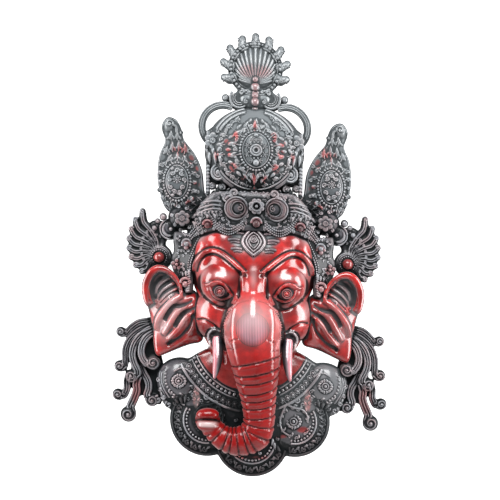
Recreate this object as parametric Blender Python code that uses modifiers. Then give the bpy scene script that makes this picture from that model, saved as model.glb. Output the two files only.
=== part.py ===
"""Wall mask of an elephant-headed figure in a tall crown, cast in one piece.

The back is flat and bears on the wall. It has a hollow behind the head and a pocket for
a nail behind the crown. X runs to the viewer's right, Z up, and the front looks along -Y.
The origin lies on the flat back, behind the band where the crown meets the forehead.
"""

import math

import bmesh
import bpy
from mathutils import Matrix, Vector
from mathutils.bvhtree import BVHTree

# Driving sizes, in metres.
mask_height = 0.610
shell_wall = 0.010
nail_pocket_width = 0.022
nail_pocket_height = 0.014
nail_pocket_depth = 0.014
nail_pocket_rise = 0.034
base_voxel = 0.0026
fine_voxel = 0.0020
triangle_target = 9500

# The carver's right side hangs lower than the left: drop per width.
side_drop = 0.027

# The carving is drawn on a figure 610 units tall, so a unit is 1 mm at the real size.
figure_units = 610.0
unit = mask_height / figure_units

# The head's main ellipsoid: centre height, centre depth, and half width, depth and height.
head_z, head_depth = -95.0, 8.0
head_half = (86.0, 73.0, 82.0)

# The neck's centre for the collar's arcs.
collar_z = -181.0


def place(x, depth, z):
    """A point of the carving, from its side offset, its depth off the wall and its height."""
    return Vector((x, -depth, z)) * unit


def smooth(points, steps):
    """Points along a smooth curve through the given ones, whatever numbers each point holds."""
    ends = [points[0]] + list(points) + [points[-1]]
    out = []
    for i in range(1, len(ends) - 2):
        p0, p1, p2, p3 = ends[i - 1 : i + 3]
        for s in range(steps):
            t = s / steps
            out.append(tuple(
                0.5 * (2 * b + (c - a) * t + (2 * a - 5 * b + 4 * c - d) * t * t
                       + (3 * b - a - 3 * c + d) * t ** 3)
                for a, b, c, d in zip(p0, p1, p2, p3)
            ))
    out.append(tuple(points[-1]))
    return out


def smooth_ring(points, steps):
    """The same through a closed ring of points."""
    n = len(points)
    out = []
    for i in range(n):
        p0, p1, p2, p3 = (points[(i + k) % n] for k in (-1, 0, 1, 2))
        for s in range(steps):
            t = s / steps
            out.append(tuple(
                0.5 * (2 * b + (c - a) * t + (2 * a - 5 * b + 4 * c - d) * t * t
                       + (3 * b - a - 3 * c + d) * t ** 3)
                for a, b, c, d in zip(p0, p1, p2, p3)
            ))
    return out


def arc(cx, cz, rx, rz, start, end, count):
    """(x, z) points along an elliptical arc, with angles in degrees from the +X side."""
    out = []
    for i in range(count):
        a = math.radians(start + (end - start) * i / (count - 1))
        out.append((cx + rx * math.cos(a), cz + rz * math.sin(a)))
    return out


def curl(cx, cz, radius, start, turns, wind, count=14):
    """(x, z) points of a scroll's curl, winding inwards from its outer edge. wind is 1 or -1."""
    out = []
    for i in range(count):
        t = i / (count - 1)
        a = math.radians(start + wind * 360 * turns * t)
        r = radius * (1 - 0.78 * t)
        out.append((cx + r * math.cos(a), cz + r * math.sin(a)))
    return out


class Clay:
    """A heap of closed shapes that a voxel remesh then fuses into one body."""

    def __init__(self):
        self.points = []
        self.faces = []
        self.lines = []
        self.plates = []

    def add(self, points, faces):
        """Adds a closed shape, given as points in the scene and faces of point numbers."""
        first = len(self.points)
        self.points.extend(points)
        self.faces.extend(tuple(first + i for i in face) for face in faces)

    def ball(self, x, depth, z, half, turn=0.0, mirror=False, fine=False):
        """An ellipsoid of these half sizes (across, deep, tall), turned in the wall's plane."""
        points, faces = fine_ball if fine else rough_ball
        for side in (1, -1) if mirror else (1,):
            matrix = (
                Matrix.Translation(place(side * x, depth, z))
                @ Matrix.Rotation(math.radians(-side * turn), 4, "Y")
                @ Matrix.Diagonal((*(h * unit for h in half), 1.0))
            )
            self.add([matrix @ p for p in points], faces)

    def tube(self, points, mirror=False):
        """A round strand through (x, depth, z, radius) points."""
        self.lines.append(points)
        if mirror:
            self.lines.append([(-x, d, z, r) for x, d, z, r in points])

    def plate(self, outline, depth, edge, mirror=False):
        """A slab on the wall with this (x, z) outline, its thickness, and its rounded edge."""
        self.plates.append((outline, depth, edge))
        if mirror:
            self.plates.append(([(-x, z) for x, z in outline], depth, edge))

    def add_curve(self, data, turn):
        """Adds the body that a curve makes, turned by this matrix."""
        obj = bpy.data.objects.new(data.name, data)
        bpy.context.scene.collection.objects.link(obj)
        bpy.context.view_layer.update()
        graph = bpy.context.evaluated_depsgraph_get()
        mesh = bpy.data.meshes.new_from_object(obj.evaluated_get(graph))
        self.add([turn @ v.co for v in mesh.vertices], [tuple(p.vertices) for p in mesh.polygons])
        bpy.data.meshes.remove(mesh)
        bpy.data.objects.remove(obj)

    def cast_lines(self):
        data = bpy.data.curves.new("strands", "CURVE")
        data.dimensions = "3D"
        data.bevel_depth = unit
        data.bevel_resolution = 3
        data.use_fill_caps = True
        for points in self.lines:
            spline = data.splines.new("POLY")
            spline.points.add(len(points) - 1)
            for target, (x, depth, z, radius) in zip(spline.points, points):
                target.co = (*place(x, depth, z), 1.0)
                target.radius = radius
        self.add_curve(data, Matrix.Identity(4))

    def cast_plates(self):
        for outline, depth, edge in self.plates:
            data = bpy.data.curves.new("plate", "CURVE")
            data.dimensions = "2D"
            data.fill_mode = "BOTH"
            data.extrude = (depth - edge) * unit
            data.bevel_depth = edge * unit
            data.bevel_resolution = 3
            data.offset = -edge * unit
            spline = data.splines.new("POLY")
            spline.points.add(len(outline) - 1)
            spline.use_cyclic_u = True
            for target, (x, z) in zip(spline.points, outline):
                target.co = (x * unit, z * unit, 0.0, 1.0)
            self.add_curve(data, Matrix.Rotation(math.radians(90), 4, "X"))

    def fused(self, name, voxel):
        """One closed mesh object of everything in the heap."""
        if self.lines:
            self.cast_lines()
        if self.plates:
            self.cast_plates()
        self.lines, self.plates = [], []
        mesh = bpy.data.meshes.new(name)
        mesh.from_pydata(self.points, [], self.faces)
        obj = bpy.data.objects.new(name, mesh)
        bpy.context.scene.collection.objects.link(obj)
        remesh = obj.modifiers.new("fuse", "REMESH")
        remesh.mode = "VOXEL"
        remesh.voxel_size = voxel
        apply_modifiers(obj)
        return obj


def unit_ball(segments, rings):
    """The points and faces of a ball of radius 1, for the heap to copy."""
    shape = bmesh.new()
    bmesh.ops.create_uvsphere(shape, u_segments=segments, v_segments=rings, radius=1.0)
    points = [v.co.copy() for v in shape.verts]
    faces = [tuple(v.index for v in f.verts) for f in shape.faces]
    shape.free()
    return points, faces


def apply_modifiers(obj):
    """Bakes an object's modifiers into its mesh."""
    bpy.context.view_layer.update()
    graph = bpy.context.evaluated_depsgraph_get()
    done = bpy.data.meshes.new_from_object(obj.evaluated_get(graph))
    obj.modifiers.clear()
    obj.data = done


class Surface:
    """The front of the base forms, on which the ornament is laid."""

    def __init__(self, obj):
        self.tree = BVHTree.FromPolygons(
            [v.co for v in obj.data.vertices], [p.vertices for p in obj.data.polygons]
        )

    def depth(self, x, z, otherwise=6.0):
        hit = self.tree.ray_cast(place(x, 400, z), Vector((0, 1, 0)))[0]
        return otherwise if hit is None else -hit.y / unit


# The outlines, as (x, z) points of the right half, or of the right-hand ornament.
ear_outline = smooth_ring([
    (76, -150), (83, -128), (97, -113), (113, -101), (129, -98), (143, -108), (150, -126),
    (146, -146), (141, -165), (137, -184), (136, -204), (131, -220), (119, -216), (99, -207),
    (84, -201), (68, -196), (70, -168),
], 4)
crest_outline = smooth_ring([
    (84, -22), (67, -6), (69, 14), (72, 38), (82, 60), (97, 79), (101, 94), (108, 106),
    (120, 109), (128, 96), (123, 77), (131, 55), (133, 26), (128, 0), (120, -18), (103, -26),
], 4)
chest_outline = smooth_ring([
    (0, -212), (45, -206), (66, -211), (92, -223), (118, -233), (130, -244), (128, -266),
    (118, -288), (90, -296), (0, -300), (-90, -296), (-118, -288), (-128, -266),
    (-130, -244), (-118, -233), (-92, -223), (-66, -211), (-45, -206),
], 3)
lobes = ((58.0, -302.0, 49.5), (-62.5, -304.5, 50.0), (0.0, -328.8, 51.5))

# The trunk's centre line, as (x, depth, z, radius), from between the eyes to its curled tip.
trunk_line = [
    (0, 50, -128, 27), (0, 60, -146, 35), (0, 66, -166, 39.5), (0, 69, -190, 38.5),
    (4, 69, -220, 34), (6, 65, -242, 30), (8, 60, -262, 26), (9.5, 56, -283, 23),
    (9.5, 53, -303, 22), (3.5, 51, -320, 22), (-19, 50, -328, 21), (-38, 51, -324, 18),
    (-51, 52, -313, 15.5), (-59, 54, -301, 14),
]
trunk_tip = (-60, 57, -299.5)

# The side scrolls: strand points (x, z), then the curl's centre, radius, entry angle and turn.
side_scrolls = [
    ([(126, -170), (146, -172), (163, -181)], (174.5, -188.2, 5.4, 160, 1)),
    ([(132, -174), (158, -188), (171, -210), (169, -232)], (175.5, -235.1, 6.0, 215, 1)),
    ([(160, -225), (170, -246), (169, -265)], (176.5, -273.4, 6.4, 200, 1)),
    ([(134, -180), (151, -196), (159, -217), (153, -238)], (161.0, -247.6, 9.0, 170, 1)),
    ([(131, -186), (145, -199), (149, -216)], (134.5, -230.5, 11.5, 5, -1)),
    ([(158, -252), (157, -272), (166, -287)], (166.4, -301.1, 11.0, 40, -1)),
    ([(142, -236), (141, -255), (145, -270)], (136.6, -282.0, 8.0, 30, -1)),
]
scroll_strand, scroll_base, scroll_depth = 4.4, 5.2, 13.0

# The wing's feathers fan out from its boss.
wing_x, wing_z, wing_feathers = 129.0, -83.6, 8
wing_first, wing_last, wing_long, wing_short = 67.0, -36.0, 69.0, 32.0

# The crown: its drum's centre, the medallion on it and the finial above.
drum_z, drum_half = 66.0, (69.0, 50.0, 62.0)
finial_z, finial_disc, finial_tip, finial_flames = 179.8, 29.0, 52.0, 9


def add_head(clay):
    """The elephant's head, its jaw and the neck below."""
    clay.ball(0, head_depth, head_z, head_half, fine=True)
    clay.ball(41, 12, -160, (40, 48, 41), mirror=True, fine=True)
    clay.ball(45, 53, -114, (24, 26, 24), mirror=True, fine=True)
    clay.ball(38, 22, -188, (24, 36, 22), mirror=True, fine=True)
    clay.ball(0, 46, -116, (20, 37, 46), fine=True)
    clay.ball(0, 0, -216, (64, 36, 46), fine=True)
    clay.ball(66, 20, -82, (22, 40, 40), mirror=True, fine=True)


def add_trunk(clay):
    clay.tube(smooth(trunk_line, 6))
    clay.ball(*trunk_tip, (15, 9, 14.5), fine=True)
    x, depth, z = trunk_tip
    lips = arc(x - 1, z + 1, 13, 12.5, 0, 360, 25)
    clay.tube([(px, depth + 8, pz, 3.4) for px, pz in lips])


def add_chest(clay):
    """The breastplate: shoulders, three lobes and the swell of the chest."""
    clay.plate(chest_outline, 15, 5)
    for x, z, radius in lobes:
        clay.plate(arc(x, z, radius, radius, 0, 352.5, 48), 15, 6)
        clay.ball(x, 9, z, (42, 15, 42), fine=True)
    clay.ball(0, 4, -268, (112, 27, 74), fine=True)
    clay.ball(98, 6, -252, (34, 20, 32), mirror=True, fine=True)


def add_ears(clay):
    """An ear plate with its swell, drawn thinner at the lobe."""
    clay.plate(ear_outline, 26, 7, mirror=True)
    clay.ball(108, 22, -158, (30, 15, 44), turn=-12, mirror=True, fine=True)
    clay.ball(84, 12, -160, (16, 30, 34), mirror=True)
    clay.ball(122, 14, -118, (20, 12, 14), mirror=True)


def add_crown_body(clay):
    """The drum, the band round the brow, the side crests and the finial's disc."""
    clay.ball(0, 0, drum_z, drum_half, fine=True)
    clay.ball(0, 4, -14, (82, 58, 25), fine=True)
    clay.plate(crest_outline, 16, 5, mirror=True)
    clay.ball(103, 10, 18, (26, 15, 46), turn=-8, mirror=True, fine=True)
    clay.ball(100, 4, -30, (24, 34, 22), mirror=True, fine=True)
    clay.plate(arc(0, finial_z, finial_disc + 9, finial_disc + 9, 0, 352.5, 48), 11, 3)
    clay.ball(0, 9, finial_z, (finial_disc, 13, finial_disc), fine=True)
    clay.plate(smooth_ring([(0, 118), (24, 122), (36, 130), (33, 142), (24, 150), (30, 164),
                            (0, 172), (-30, 164), (-24, 150), (-33, 142), (-36, 130),
                            (-24, 122)], 4), 12, 3)
    clay.ball(0, 6, 138, (26, 17, 20), fine=True)
    clay.plate([(22, -10), (46, -10), (46, 19), (66, 19), (67, 92), (40, 112), (22, 60)], 9, 2,
               mirror=True)


def add_temples(clay):
    """The grey straps that hang from the crown to the ears."""
    clay.plate(smooth_ring([(80, -48), (104, -52), (108, -78), (112, -100), (98, -124),
                            (86, -136), (80, -110)], 4), 26, 5, mirror=True)
    clay.plate(arc(wing_x, wing_z, 18, 18, 0, 345, 20), 16, 4, mirror=True)


def brow_band(clay):
    """The crown's padded band across the forehead, standing proud of the head."""
    for z_offset, radius in ((0, 8), (13, 8)):
        points = []
        for i in range(15):
            a = math.radians(-78 + 156 * i / 14)
            x = 92 * math.sin(a)
            depth = 4 + 70 * math.cos(a) - 0.15 * z_offset
            points.append((x, depth, -36 + z_offset - 34 * (1 - math.cos(a)), radius))
        clay.tube(points)


def add_band_ornament(clay, front):
    """The volutes, flowers, bells and drops along the crown's band."""
    top = front(0, -12)
    volute(clay, front, 26.4, -13, 17, 4.2, 100, 1)
    volute(clay, front, 29, 7, 6, 2.6, 0, -1)
    flower(clay, front, 0, -9, 11, 5.2, 6)
    clay.ball(0, top + 3, -31.5, (6.2, 6, 6.2))
    clay.ball(62, front(62, -37) + 2, -37.4, (6, 6, 5), mirror=True)
    clay.ball(91, front(89, -64) + 2, -63.8, (7, 6, 7), mirror=True)
    volute(clay, front, 113.5, -44.6, 14, 4.0, 150, 1)
    flower(clay, front, 96.3, -25.5, 11, 5.0, 6, mirror=True)
    clay.ball(123.5, 20, -28.8, (5.5, 8, 5.5), mirror=True)
    clay.ball(133, 16, -37, (5, 7, 5), mirror=True)
    clay.ball(106.8, front(106, -95) + 2, -95, (6, 6, 6), mirror=True)
    clay.ball(92, front(92, -120) + 2, -118, (8, 8, 8), mirror=True)


def volute(clay, front, x, z, radius, strand, start, wind):
    """A pair of spiral volutes, wound from the outside in, left and right."""
    depth = front(x, z) + 1.5
    line = curl(x, z, radius - strand, start, 1.35, wind, 22)
    count = len(line)
    points = [
        (px, depth + 3.5 * i / count, pz, strand * (1 - 0.45 * i / count))
        for i, (px, pz) in enumerate(line)
    ]
    clay.tube(points, mirror=True)


def flower(clay, front, x, z, radius, petal, petals, mirror=False):
    """A flower of round petals about a raised heart."""
    depth = front(x, z)
    for i in range(petals):
        a = math.radians(90 + 360 * i / petals)
        reach = radius - petal * 0.8
        clay.ball(x + reach * math.cos(a), depth + 3, z + reach * math.sin(a),
                  (petal, 3.6, petal), mirror=mirror)
    clay.ball(x, depth + 4.5, z, (petal * 0.75, 4.5, petal * 0.75), mirror=mirror)


def add_drum_ornament(clay, front):
    """The medallion, the wreath of leaves, the crescent and the corded straps."""
    depth = front(0, drum_z)
    clay.ball(0, depth - 6, drum_z, (19, 10, 24), fine=True)
    bezel = arc(0, drum_z, 21, 26.2, 0, 360, 37)
    clay.tube([(x, front(x, z) + 0.8, z, 2.8) for x, z in bezel])
    clay.ball(0, depth + 3, drum_z, (7, 4, 7))
    for i in range(12):
        a = 30 * i
        x, z = arc(0, drum_z, 36, 41, a, a, 2)[0]
        clay.ball(x, front(x, z) - 0.6, z, (10.5, 5.5, 7.5), turn=a)
    for i in range(14):
        a = 90 + (360 * i + 180) / 14
        x, z = arc(0, drum_z, 53, 55, a, a, 2)[0]
        if z > 35:
            clay.ball(x, front(x, z, 10) - 0.6, z, (8, 5.5, 6.5), turn=a)
    crescent = arc(0, 69.5, 60, 60, -152, -28, 19)
    clay.tube([(x, front(x, z, 26) + 2, z, 4.4) for x, z in crescent])
    volute(clay, front, 53, 37, 8.5, 3.6, -120, -1)
    flower(clay, front, 57, 79.5, 11.5, 5.8, 5, mirror=True)
    clay.tube([(63.3, 14, 62, 5.0), (63.3, 17, -18, 5.0)], mirror=True)
    loop = arc(43.0, 99.0, 29.5, 29.5, 112, -38, 17)
    clay.tube([(x, 12, z, 4.9) for x, z in loop], mirror=True)
    clay.tube([(x, 5, z, 4.9) for x, z in loop], mirror=True)


def add_finial_ornament(clay, front):
    """The shell with its flutes, the flames round it and the bud and scrolls below."""
    foot = finial_z - finial_disc + 7
    for i in range(9):
        a = 90 + 20 * (i - 4)
        x, z = arc(0, finial_z, finial_disc - 3, finial_disc - 3, a, a, 2)[0]
        line = smooth([(0.12 * x, foot), (0.6 * x, 0.55 * foot + 0.45 * z), (x, z)], 5)
        clay.tube([(px, front(px, pz, 12) - 0.6, pz, 1.4 + 0.14 * k)
                   for k, (px, pz) in enumerate(line)])
    ring = arc(0, finial_z, finial_disc + 4.5, finial_disc + 4.5, 0, 360, 40)
    clay.tube([(x, 10, z, 3.0) for x, z in ring])
    for i in range(finial_flames):
        a = 27 * (i - (finial_flames - 1) / 2)
        hook = 0 if a == 0 else math.copysign(7, a)
        line = []
        for t, radius in ((0.66, 6.8), (0.78, 6.4), (0.88, 5.2), (0.93, 4.4)):
            angle = math.radians(90 - a + hook * t)
            line.append((finial_tip * t * math.cos(angle), 7 + 3 * t,
                         finial_z + finial_tip * t * math.sin(angle), radius))
        clay.tube(line)
        clay.tube([(x, 3, z, r) for x, d, z, r in line])
    clay.ball(33, 6, 166, (9, 8, 6.5), turn=-30, mirror=True)
    for z, radius in ((164, 3.6), (153.5, 6.2), (141.5, 4.6), (130.5, 5.2), (122.8, 3.8)):
        clay.ball(0, front(0, z) + radius * 0.5, z, (radius, radius, radius))
    volute(clay, front, 23.7, 138.6, 12, 3.4, 140, -1)
    clay.ball(40.4, 10, 139, (5.4, 8, 5.4), mirror=True)


def add_crest_ornament(clay, front):
    """The medallion and the overlapping leaves of each side crest."""
    x0, z0 = 106.3, 21.4
    clay.ball(x0, front(x0, z0) - 4, z0, (14, 8, 22), mirror=True)
    bezel = arc(x0, z0, 18, 26.5, 0, 360, 31)
    clay.tube([(x, front(x, z) + 0.4, z, 2.8) for x, z in bezel], mirror=True)
    for x, z, turn in ((84, 45, 60), (81, 20, 80), (80, -2, 100), (126, 45, 110), (126, 20, 90),
                       (122, -4, 75), (92, 64, 60), (121, 66, 115), (106, 62, 90)):
        clay.ball(x, front(x, z, 14) - 0.5, z, (8.5, 5, 5.5), turn=turn, mirror=True)
    clay.ball(106, front(106, 84, 14), 84, (8, 5, 11), turn=8, mirror=True)
    clay.ball(116, front(116, 98, 14) + 1, 99, (8, 6, 9.5), mirror=True)


def add_wings(clay):
    """Feathers that fan out from the boss, each ending in a small curl."""
    for i in range(wing_feathers):
        t = i / (wing_feathers - 1)
        a = wing_first + (wing_last - wing_first) * t
        reach = wing_long + (wing_short - wing_long) * t ** 0.85
        line = []
        for s, bend, radius in ((0.12, 0, 3), (0.4, -9, 4.6), (0.68, -9, 5.6), (0.86, 0, 5.0),
                                (0.96, 5, 4.4)):
            angle = math.radians(a + bend * (0.5 + 0.5 * reach / wing_long))
            line.append((wing_x + reach * s * math.cos(angle), 11 + 3 * s,
                         wing_z + reach * s * math.sin(angle), radius))
        points = smooth(line, 4)
        clay.tube(points, mirror=True)
        clay.tube([(x, 3, z, r * 1.1) for x, d, z, r in points], mirror=True)
    clay.ball(wing_x, 19, wing_z, (7.5, 8, 7.5), mirror=True)
    clay.plate(smooth_ring([(102, -38), (124, -34), (140, -34), (150, -50), (150, -72),
                            (128, -78), (122, -66), (117, -57), (106, -58)], 4), 13, 4,
               mirror=True)


def add_side_scrolls(clay):
    """The cascade of strands beside each shoulder, every one ending in a curl."""
    for strand, (cx, cz, radius, start, wind) in side_scrolls:
        spiral = curl(cx, cz, radius, start, 1.15, wind, 12)
        line = [*strand, *spiral]
        count = len(line)
        flat = smooth(line, 3)
        total = len(flat)
        points = []
        for i, (x, z) in enumerate(flat):
            t = i / total
            fade = 1 - 0.35 * max(0.0, t - len(strand) / count)
            points.append((x, scroll_depth + 3 * t, z, scroll_strand * fade))
        clay.tube(points, mirror=True)
        clay.tube([(x, 2, z, scroll_base * (r / scroll_strand)) for x, d, z, r in points],
                  mirror=True)
    clay.ball(166.4, 8, -301.1, (11, 12, 11), mirror=True)
    clay.plate(smooth_ring([(118, -236), (140, -172), (160, -192), (168, -222), (166, -262),
                            (160, -280), (140, -276), (122, -288)], 4), 12, 4, mirror=True)


def add_face_features(clay, front):
    """Brows, lids, the mark on the forehead, tusks with their sockets and cheek folds."""
    brow = smooth([(13, -100), (22, -91), (34, -81), (44, -74.5), (53, -72), (63, -73.5),
                   (72, -80), (78, -89), (81, -99), (80, -114), (75, -128)], 4)
    clay.tube([(x, front(x, z) - 0.4, z, 4.0) for x, z in brow], mirror=True)
    upper = smooth([(28, -132), (32.5, -121.5), (40, -114.5), (48, -112.5), (57, -115),
                    (65, -117)], 4)
    clay.tube([(x, front(x, z) - 0.4, z, 2.2) for x, z in upper], mirror=True)
    lower = smooth([(29, -132), (36, -134), (45, -134.5), (52, -130), (56, -120)], 4)
    clay.tube([(x, front(x, z) - 1.2, z, 2.2) for x, z in lower], mirror=True)
    clay.ball(44, front(44, -125) - 2.5, -124.5, (8, 5, 7), mirror=True)
    fold = smooth([(20, -118), (22, -136), (34, -147), (50, -147), (64, -138)], 4)
    clay.tube([(x, front(x, z) - 1.6, z, 2.8) for x, z in fold], mirror=True)
    mark = smooth([(0, -41), (10, -48), (14.5, -58), (10, -68), (0, -76)], 4)
    clay.tube([(x, front(x, z) + 0.4, z, 2.8) for x, z in mark], mirror=True)
    clay.ball(0, front(0, -56) - 0.5, -56, (7, 5, 9))
    for z, near, far in ((-45, 15, 24), (-56.5, 20, 33), (-68.5, 17, 29)):
        clay.tube([(near, front(near, z), z, 2.6), (far, front(far, z), z, 2.6)], mirror=True)
    arch = arc(50, -192, 10.5, 10.5, -30, 210, 15)
    clay.tube([(x, 56, z, 3.4) for x, z in arch], mirror=True)
    clay.ball(49, 45, -190, (12, 14, 11), mirror=True)
    clay.tube(smooth([(49.5, 54, -190, 7.2), (50.5, 64, -206, 6.8), (51.5, 71, -225, 5.6),
                      (51.5, 74, -242, 3.0)], 4), mirror=True)
    cheek = smooth([(48, -172), (57, -167), (66, -164), (75, -165)], 4)
    clay.tube([(x, front(x, z) - 0.6, z, 2.8) for x, z in cheek], mirror=True)


def add_trunk_rings(clay):
    """Raised bands between the trunk's creases, with the open lips of its tip."""
    line = smooth(trunk_line, 6)
    lengths = [0.0]
    for a, b in zip(line, line[1:]):
        lengths.append(lengths[-1] + math.dist(a[:3], b[:3]))
    step, start = 11.5, 96.0
    for k in range(13):
        s = start + step * k
        i = min(range(len(lengths)), key=lambda n: abs(lengths[n] - s))
        x, depth, z, radius = line[i]
        before, after = line[max(0, i - 1)], line[min(len(line) - 1, i + 1)]
        along = Vector((after[0] - before[0], -(after[1] - before[1]), after[2] - before[2]))
        turn = along.to_track_quat("Z", "Y").to_matrix().to_4x4()
        matrix = Matrix.Translation(place(x, depth, z)) @ turn
        swell = matrix @ Matrix.Diagonal(
            ((radius + 2.0) * unit, (radius + 2.0) * unit, 0.6 * step * unit, 1.0)
        )
        clay.add([swell @ p for p in fine_ball[0]], fine_ball[1])


def add_ear_folds(clay, front):
    """The rolled rim of each ear and the ribs that run down to its lobe."""
    rim = smooth([(88, -140), (90, -124), (98, -112), (113, -102), (129, -99), (142, -108),
                  (147, -126), (142, -143)], 4)
    clay.tube([(x, 33, z, 5.0) for x, z in rim], mirror=True)
    for rib in (
        ((108, -114), (122, -128), (132, -146)),
        ((99, -126), (118, -142), (132, -166)),
        ((92, -140), (112, -160), (128, -190)),
        ((84, -154), (101, -180), (122, -204)),
        ((78, -166), (86, -188), (104, -199)),
    ):
        clay.tube([(x, front(x, z) + 0.4, z, 4.0) for x, z in smooth(rib, 4)], mirror=True)


def add_chest_ornament(clay, front):
    """The collar's rims, the lobes' borders, the rosettes and the teardrops round them."""
    for half, radius, start in ((82, 2.8, 205), (106, 3.4, 207)):
        line = arc(0, collar_z, half, half + 3, start, 540 - start, 25)
        clay.tube([(x, front(x, z) + 0.6, z, radius) for x, z in line])
    for i in range(13):
        x, z = arc(0, collar_z, 94, 97, 214 + 9.4 * i, 0, 2)[0]
        clay.ball(x, front(x, z) - 0.4, z, (4.6, 4, 4.6))
    for cx, cz, radius in lobes:
        first, last = (150, 390) if cx == 0 else (230, 400) if cx > 0 else (140, 310)
        for inset, strand in ((15, 2.8), (7.5, 2.8)):
            line = arc(cx, cz, radius - inset, radius - inset, first, last, 21)
            clay.tube([(x, front(x, z) + 0.2, z, strand) for x, z in line])
    for x, z, radius in ((57, -300.5, 11), (101, -252, 10)):
        flower(clay, front, x, z, radius, 4.4, 6, mirror=True)
    drop = smooth([(72, -264), (84, -282), (78, -306), (58, -321), (38, -310), (36, -290),
                   (50, -276), (64, -266)], 4)
    clay.tube([(x, front(x, z) + 0.2, z, 2.6) for x, z in drop], mirror=True)
    shoulder = arc(101, -252, 21, 21, 150, 420, 19)
    clay.tube([(x, front(x, z, 10) + 0.2, z, 2.8) for x, z in shoulder], mirror=True)


def cut_back(obj):
    """Cuts the flat back, the hollow behind the head and the pocket for the nail."""
    shape = bmesh.new()
    bmesh.ops.create_uvsphere(
        shape, u_segments=32, v_segments=20, radius=1.0,
        matrix=Matrix.Translation(place(0, head_depth, head_z)) @ Matrix.Diagonal(
            (*(h * unit - shell_wall for h in head_half), 1.0)
        ),
    )
    hollow = cutter("head_hollow", shape)
    shape = bmesh.new()
    bmesh.ops.create_cube(
        shape, size=1.0,
        matrix=Matrix.Translation((0, 0, nail_pocket_rise)) @ Matrix.Diagonal(
            (nail_pocket_width, 2 * nail_pocket_depth, nail_pocket_height, 1.0)
        ),
    )
    pocket = cutter("nail_pocket", shape)
    shape = bmesh.new()
    bmesh.ops.create_cube(
        shape, size=1.0,
        matrix=Matrix.Translation((0, mask_height / 2, -0.1 * mask_height)) @ Matrix.Diagonal(
            (2 * mask_height, mask_height, 3 * mask_height, 1.0)
        ),
    )
    wall = cutter("wall_side", shape)
    for other in (wall, hollow, pocket):
        cut = obj.modifiers.new(other.name, "BOOLEAN")
        cut.operation = "DIFFERENCE"
        cut.object = other


def cutter(name, shape):
    mesh = bpy.data.meshes.new(name)
    shape.to_mesh(mesh)
    shape.free()
    obj = bpy.data.objects.new(name, mesh)
    obj.hide_render = True
    obj.display_type = "WIRE"
    cutters.objects.link(obj)
    return obj


def red_lacquer():
    """Dark red lacquered resin, as on the face and trunk."""
    material = bpy.data.materials.new("red_black_lacquer")
    material.use_nodes = True
    shader = material.node_tree.nodes["Principled BSDF"]
    shader.inputs["Base Color"].default_value = (0.30, 0.035, 0.035, 1.0)
    shader.inputs["Roughness"].default_value = 0.3
    shader.inputs["Metallic"].default_value = 0.0
    return material


for old in list(bpy.data.objects):
    bpy.data.objects.remove(old)
casting = bpy.data.collections.new("wall_mask")
bpy.context.scene.collection.children.link(casting)
cutters = bpy.data.collections.new("cutters")
bpy.context.scene.collection.children.link(cutters)

fine_ball, rough_ball = unit_ball(40, 26), unit_ball(14, 9)

# The base forms are fused first, so that the ornament can be laid on their surface.
base = Clay()
for add in (add_head, add_chest, add_ears, add_crown_body, add_temples, brow_band):
    add(base)
base_form = base.fused("base_form", base_voxel)
surface = Surface(base_form)
bpy.data.objects.remove(base_form)
for add in (
    add_band_ornament, add_drum_ornament, add_finial_ornament, add_crest_ornament,
    add_face_features, add_ear_folds, add_chest_ornament,
):
    add(base, surface.depth)
for add in (add_wings, add_side_scrolls, add_trunk, add_trunk_rings):
    add(base)

mask = base.fused("mask", fine_voxel)
soften = mask.modifiers.new("soften", "SMOOTH")
soften.factor, soften.iterations = 0.5, 3
apply_modifiers(mask)
for vertex in mask.data.vertices:
    vertex.co.z -= side_drop * vertex.co.x
thin = mask.modifiers.new("facets", "DECIMATE")
thin.ratio = triangle_target / (2 * len(mask.data.polygons))
apply_modifiers(mask)
cut_back(mask)
mask.data.materials.append(red_lacquer())
mask.data.shade_smooth()
mask.data.set_sharp_from_angle(angle=math.radians(50))
bpy.context.scene.collection.objects.unlink(mask)
casting.objects.link(mask)
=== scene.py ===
import math
import random

import bmesh
import bpy
import numpy as np
from mathutils import Matrix, Vector
from mathutils.bvhtree import BVHTree


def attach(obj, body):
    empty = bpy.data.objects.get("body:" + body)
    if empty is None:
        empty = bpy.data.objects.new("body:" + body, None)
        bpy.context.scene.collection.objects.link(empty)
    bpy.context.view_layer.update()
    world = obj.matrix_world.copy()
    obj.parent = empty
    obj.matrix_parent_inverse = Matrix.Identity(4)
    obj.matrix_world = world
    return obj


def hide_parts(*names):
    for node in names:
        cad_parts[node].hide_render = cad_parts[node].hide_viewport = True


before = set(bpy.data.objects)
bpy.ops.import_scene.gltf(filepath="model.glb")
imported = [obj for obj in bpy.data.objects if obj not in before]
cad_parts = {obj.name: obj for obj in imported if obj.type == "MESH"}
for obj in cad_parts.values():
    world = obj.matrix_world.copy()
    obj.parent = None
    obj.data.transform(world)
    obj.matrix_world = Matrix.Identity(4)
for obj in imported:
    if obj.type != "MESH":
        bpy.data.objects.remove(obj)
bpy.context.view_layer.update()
print("frame loaded, nodes:", len(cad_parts))

carving = {
    "unit": 0.001,  # the carving is drawn in millimetres
    "sideDrop": 0.027,  # the carver's right side hangs lower: drop per width
    "coarseVoxel": 0.0028,  # only for finding the surface that ornament lies on
    "fineVoxel": 0.00115,  # each piece's own voxel is this times its share
    "farAhead": 400.0,  # where the rays that feel for the surface start
}
unit = carving["unit"]


# points and lines of the carving, as (x, z) seen from the front
def place(x, depth, z):
    # from millimetres, with the depth in front of the wall, to metres
    return Vector((x, -depth, z)) * unit


def blend4(p0, p1, p2, p3, t):
    return tuple(
        0.5 * (2 * b + (c - a) * t + (2 * a - 5 * b + 4 * c - d) * t * t
               + (3 * b - a - 3 * c + d) * t ** 3)
        for a, b, c, d in zip(p0, p1, p2, p3)
    )


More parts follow.
